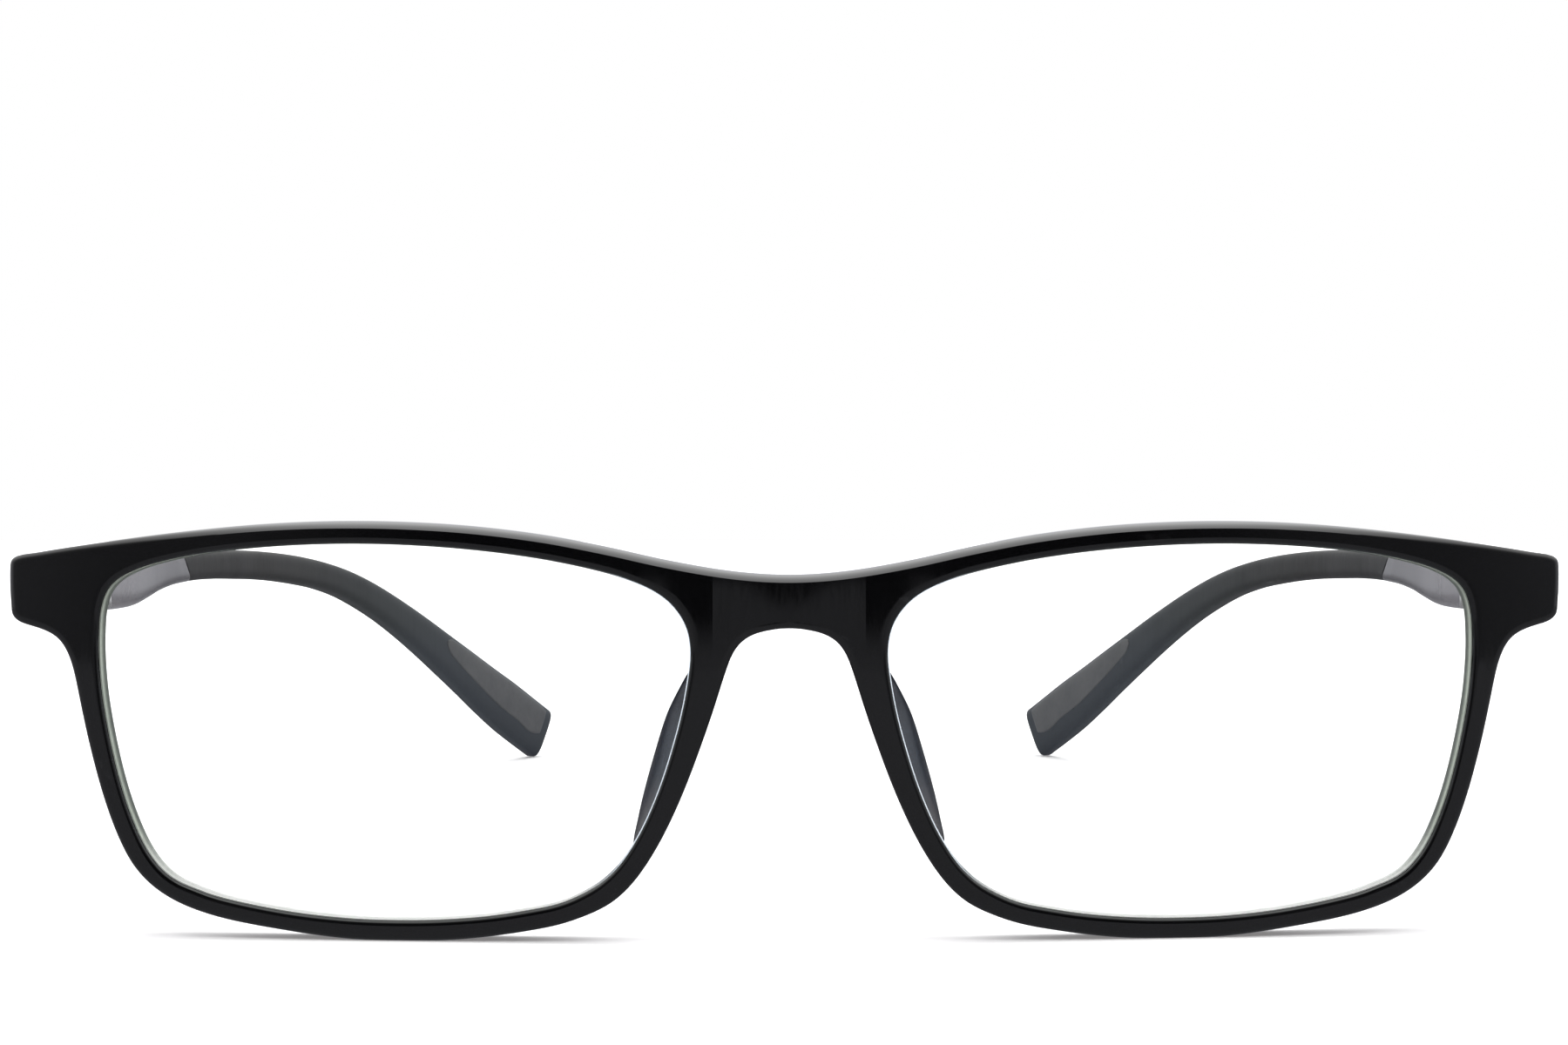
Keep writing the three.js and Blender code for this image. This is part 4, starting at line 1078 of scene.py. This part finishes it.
def ground_edge(name):
    """Frosted rim of the lens: grey-green at the outer side, with painted light. A painted highlight
    makes it nearly white below and bright beside the nose, painted shade darkens the top and the
    seam beside the frame, and a painted glow lights it; it is also dark along its back edge.
    Positions are in metres, depth in mm."""
    material, graph = new_material(name)
    place = graph.place()
    x, _, high = graph.split(place)
    across = abs(x)
    depth = graph.add("Attribute", output="Fac", attribute_name="depth")
    grain = graph.noise(place, scale=5200.0, detail=3.0, roughness=0.7)
    band = graph.noise(place, scale=300.0, detail=4.0, roughness=0.65)
    # painted highlight: nearly white towards the bottom, away from the nose
    low = high.ramp(span=(0.0025, 0.011), to=(1.0, 0.0)) * across.ramp(span=(0.0125, 0.019))
    side = across.ramp(span=(0.045, 0.056))
    top = high.ramp(span=(0.0265, 0.031))
    colour = graph.mix(side, (0.55, 0.59, 0.64), (0.56, 0.60, 0.53))
    colour = graph.mix(low, colour, (1.0, 1.0, 0.98))
    # painted shade: dark along the top of the rim
    top_shade = top * across.ramp(span=(0.047, 0.058), to=(1.0, 0.35))
    colour = graph.mix(top_shade, colour, (0.03, 0.032, 0.03))
    banded = graph.mix(0.5, colour, (0.16, 0.19, 0.17))
    colour = graph.mix(band.ramp(span=(0.42, 0.72), to=(0.0, 0.28)), colour, banded)
    grain_tone = grain.ramp(span=(0.35, 0.65), to=(0.0, 0.2))
    colour = graph.mix(grain_tone, colour, (0.30, 0.34, 0.31))
    # painted highlight: beside the nose the rim of the lens is bright right up to the frame
    nasal_highlight = across.ramp(span=(0.0125, 0.0175), to=(1.0, 0.0))
    colour = graph.mix(nasal_highlight, colour, (0.86, 0.93, 1.0))
    # painted shade in the seam beside the frame, wider along the bottom; darker along the back edge
    seam = depth.ramp(span=(0.60, 0.80), to=(0.85, 0.0))
    low_seam_shade = low * depth.ramp(span=(0.75, 1.02), to=(0.92, 0.0))
    seam = seam.larger(low_seam_shade) * (1.0 - nasal_highlight)
    back = depth.ramp(span=(1.62, 1.85)) * (0.8 - low.larger(nasal_highlight) * 0.75)
    colour = graph.mix(seam.larger(back), colour, (0.05, 0.055, 0.052))
    normal = graph.bump(grain, distance=4e-6, strength=0.5)
    diffuse = graph.add("BsdfDiffuse", {"Color": colour, "Normal": normal})
    translucent = graph.add("BsdfTranslucent", {"Color": colour})
    # painted glow: the rim gives off light of its own
    glow = graph.add("Emission", {"Color": colour, "Strength": 0.36})
    body = graph.mix_shader(0.45, diffuse, translucent)
    graph.finish("OutputMaterial", graph.add("AddShader", {0: body, 1: glow}))
    return material


def pad_painted_reflection(graph, place, base):
    """Painted reflection on the thin fins: pale low down, bluish in the middle, dark higher up."""
    span = graph.add("Attribute", output="Fac", attribute_name="span")
    high = graph.split(place)[2]
    stretched = graph.mapping(place, scale=(1.0, 1.0, 0.35))
    cloud = graph.noise(stretched, scale=520.0, detail=3.0, roughness=0.55)
    pale, bluish, dark = (0.082, 0.077, 0.078), (0.016, 0.0225, 0.030), (0.005, 0.006, 0.008)
    body = graph.mix(high.ramp(span=(0.009, 0.0155)), pale, bluish)
    body = graph.mix(high.ramp(span=(0.0175, 0.0225)), body, dark)
    inside = span.ramp(span=(0.0, 0.15)) * span.ramp(span=(0.28, 0.78), to=(1.0, 0.0))
    return graph.mix(inside * cloud.ramp(span=(0.3, 0.7), to=(0.65, 1.0)), base, body)


def pad_gloss(graph):
    """Glossy seen straight on, softer along the thin sides of the fin."""
    facing = graph.add("LayerWeight", {"Blend": 0.5}, output="Facing")
    return facing.ramp(span=(0.35, 0.72), to=(0.45, 0.005))


def arm_painted_reflection(graph, place, base):
    """Painted reflection: the inner face of the temple's front part keeps the paler colour, which
    stands in for its grazing reflection; the outside is darker.
    """
    normal_x = graph.split(graph.place("Normal"))[0]
    x = graph.split(place)[0]
    outward = normal_x * graph.math("SIGN", x)
    return graph.mix(outward.ramp(span=(-0.35, 0.25)), base, (0.026, 0.0235, 0.0275))


MAT_FRONT = plastic(
    "front_black_gloss", colours=((0.0010, 0.0010, 0.0014), (0.0018, 0.0018, 0.0022)),
    rough=0.045, rough_var=0.04, fine_bump=2e-7, scratch=0.05, wave=4e-6,
    wear=0.12, wear_colour=(0.06, 0.06, 0.065))
# the nose pads' colour carries a painted reflection
MAT_PAD = plastic(
    "nose_pad_gloss", colours=((0.0020, 0.0022, 0.0030), (0.0035, 0.0040, 0.0055)),
    rough=0.16, rough_var=0.06, fine_bump=3e-7, scratch=0.04, wave=3e-6,
    wear=0.1, wear_colour=(0.05, 0.05, 0.06), specular=pad_gloss, shade=pad_painted_reflection)
# the temple's paler colours stand in for a painted reflection on its inner face; darker towards the
# seam
MAT_ARM = plastic(
    "temple_gloss", colours=((0.086, 0.079, 0.086), (0.108, 0.099, 0.107)),
    rough=0.16, rough_var=0.07, fine_bump=4e-7, scratch=0.06, wave=5e-6,
    wear=0.2, wear_colour=(0.12, 0.11, 0.13), shade=arm_painted_reflection,
    gradient=((-0.053, -0.035), (0.046, 0.042, 0.046)))
MAT_SATIN = plastic(
    "temple_satin", colours=((0.012, 0.0115, 0.0095), (0.018, 0.017, 0.0145)),
    rough=0.48, rough_var=0.08, fine_bump=1.6e-6, fine_scale=6500, scratch=0.03,
    wear=0.25, wear_colour=(0.12, 0.125, 0.13), ior=1.42, specular=0.32,
    gradient=((-0.01, 0.05), (0.026, 0.031, 0.034)))
MAT_GRIP = plastic(
    "ear_grip_soft", colours=((0.047, 0.0475, 0.047), (0.066, 0.0665, 0.066)),
    rough=0.66, rough_var=0.1, fine_bump=9e-6, fine_scale=4200,
    wear=0.2, wear_colour=(0.22, 0.22, 0.22), ior=1.40, sheen=0.15, sheen_tint=(0.9, 0.95, 1.0))
MAT_NICKEL = metal("hinge_nickel", colours=((0.42, 0.415, 0.40), (0.55, 0.54, 0.52)), rough=0.24)
MAT_CORE = metal(
    "core_steel", colours=((0.55, 0.55, 0.54), (0.68, 0.68, 0.67)), rough=0.26,
    brush=(2200.0, 60.0, 2200.0))
MAT_LENS = clear_lens("lens_clear")
MAT_EDGE = ground_edge("lens_ground_edge_painted_light")

# ------------------------------------------------------------------ pieces
# for each side: name, mesh function, materials, body, CAD node, slot, smoothing angle
SIDE_PIECES = [
    ("clear_lens", lens_mesh, [MAT_LENS, MAT_EDGE], "front", "lens", "lens", 20.0),
    ("pad", pad_mesh, [MAT_PAD], "front", "nose_pad", "nose_pad", 50.0),
    ("front_leaf", front_leaf_mesh, [MAT_NICKEL], "front", "hinge_front_leaf", "hinge_metal", 32.0),
    ("screw", screw_mesh, [MAT_NICKEL], "front", "hinge_screw", "hinge_metal", 32.0),
    ("temple_leaf", temple_leaf_mesh, [MAT_NICKEL], "temple", "hinge_temple_leaf",
     "hinge_metal", 32.0),
    ("arm_front", temple_front_mesh, [MAT_ARM], "temple", "temple_front", "temple_front", 32.0),
    ("arm_core", core_mesh, [MAT_CORE], "temple", "temple_core", "core_wire", 32.0),
    ("arm_rear", temple_rear_mesh, [MAT_SATIN], "temple", "temple_rear", "temple_rear", 32.0),
    ("grip_panel", grip_mesh, [MAT_GRIP], "temple", "ear_grip", "ear_grip", 60.0),
]

add_piece(
    "front", front_mesh(), [MAT_FRONT], "front", "front_frame", sharpen=crease_bridge
)
for side_name, side in (("left", 1), ("right", -1)):
    for name, build, materials, body, node, slot, angle in SIDE_PIECES:
        add_piece(
            f"{name}_{side_name}",
            build(),
            materials,
            body if body == "front" else f"{body}_{side_name}",
            f"{node}_{side_name}",
            side=side,
            angle=angle,
        )


# ------------------------------------------------------------------ floor
def floor_material():
    """White table that mirrors greyer than it looks."""
    material, graph = new_material("floor_white")
    place = graph.place()
    cloud = graph.noise(place, scale=9.0, detail=4.0, roughness=0.6)
    tone = graph.mix(cloud, (0.86, 0.86, 0.87), (0.90, 0.90, 0.905))
    diffuse = graph.add("BsdfDiffuse", {"Color": tone})
    # what reflections see, brighter towards the back
    strength = graph.split(place)[1].ramp(span=(0.15, 0.7), to=(0.42, 1.05))
    mirrored = graph.add("Emission", {"Color": (0.93, 0.94, 1.0), "Strength": strength})
    camera_ray = graph.add("LightPath", output="Is Camera Ray")
    # a little light of its own keeps the shadows pale and slightly warm
    glow = graph.add("Emission", {"Color": (1.0, 0.965, 0.955), "Strength": camera_ray * 0.19})
    pale = graph.add("AddShader", {0: diffuse, 1: glow})
    shader = graph.mix_shader(camera_ray.sibling("Is Glossy Ray"), pale, mirrored)
    graph.finish("OutputMaterial", shader)
    return material


def add_floor():
    half_size, cells = 4.0, 24  # metres
    grid = np.linspace(-half_size, half_size, cells + 1)
    verts = [(x, y, 0.0) for y in grid for x in grid]
    row = cells + 1
    corners = [j * row + i for j in range(cells) for i in range(cells)]
    me = bpy.data.meshes.new("floor")
    me.from_pydata(verts, [], [(c, c + 1, c + row + 1, c + row) for c in corners])
    obj = bpy.data.objects.new("floor", me)
    bpy.context.scene.collection.objects.link(obj)
    me.materials.append(floor_material())


add_floor()


# ------------------------------------------------------------------ light
def add_world():
    """Studio seen by everything but the camera, which sees plain white."""
    world = bpy.data.worlds.new("studio")
    bpy.context.scene.world = world
    world.use_nodes = True
    graph = Graph(world.node_tree)
    x, y, z = graph.split(graph.place("Generated"))
    degrees = 180 / math.pi
    elevation = graph.math("ARCSINE", z) * degrees
    # azimuth 0 looks back past the camera
    away = abs(graph.math("ARCTAN2", x, y * -1.0) * degrees)
    # dark room behind the camera, brighter walls to the sides and behind the object
    wall = away.ramp(span=(14.0, 36.0), to=(0.035, 0.17)) + away.ramp(
        span=(36.0, 105.0), to=(0.0, 0.88)
    )
    low = elevation.ramp(span=(0.5, 4.5), to=(0.32, 0.0)) * away.ramp(
        span=(14.0, 40.0), to=(1.0, 0.0)
    )
    # pale card round the camera, with slanting upper corners
    card = away.ramp(span=(2.6, 4.2), to=(1.0, 0.0)) * elevation.ramp(
        span=(6.2, 8.2), to=(1.0, 0.0)
    )
    notch = (elevation - away * 2.1).ramp(span=(4.0, 5.2), to=(1.0, 0.0))
    room = (wall + low).larger(card * notch * 0.33)
    # upper hemisphere: a bright tent, dark only towards the camera, and a soft box overhead
    tent = elevation.ramp(span=(12.0, 40.0)) * y.ramp(span=(-0.55, -0.05))
    room = room * (1.0 - tent) + tent * 2.0
    room = room + elevation.ramp(span=(74.0, 79.0)) * 1.4
    below = elevation.ramp(span=(-2.0, 0.0), to=(1.0, 0.0))
    room = room * (1.0 - below) + below * 0.4
    tint = graph.mix(elevation.ramp(span=(0.0, 40.0)), (0.93, 0.94, 1.0), (1.0, 1.0, 1.0))
    white = graph.add("Background", {"Color": (1, 1, 1), "Strength": 1.0})
    studio = graph.add("Background", {"Color": tint, "Strength": room})
    camera_ray = graph.add("LightPath", output="Is Camera Ray")
    graph.finish("OutputWorld", graph.mix_shader(camera_ray, studio, white))
    world.cycles.sampling_method = "MANUAL"
    world.cycles.sample_map_resolution = 1024


def add_sun():
    """Broad, slightly warm light from overhead, not mirrored."""
    sun = bpy.data.lights.new("overhead", "SUN")
    sun.energy = 1.1
    sun.angle = math.radians(40)
    sun.color = (1.0, 0.985, 0.97)
    obj = bpy.data.objects.new("overhead", sun)
    obj.rotation_euler = (math.radians(-12), math.radians(4), 0)
    obj.visible_glossy = False
    bpy.context.scene.collection.objects.link(obj)


add_world()
add_sun()

# ------------------------------------------------------------------ camera and render
CAMERA_Y, CAMERA_Z = -188.36, 36.58

scene = bpy.context.scene
lens = bpy.data.cameras.new("camera")
lens.sensor_width = 36.0
lens.lens = 49.6
lens.shift_x = -0.0274
lens.clip_start, lens.clip_end = 0.01, 20.0
camera = bpy.data.objects.new("camera", lens)
camera.location = (0.0, (CAMERA_Y - MIDDLE_Y) * MM, CAMERA_Z * MM)
camera.rotation_euler = (math.radians(90), 0.0, math.radians(-1))
scene.collection.objects.link(camera)
scene.camera = camera
scene.view_settings.view_transform = "Standard"
scene.view_settings.look = "None"
scene.cycles.max_bounces = 8
scene.cycles.transparent_max_bounces = 24
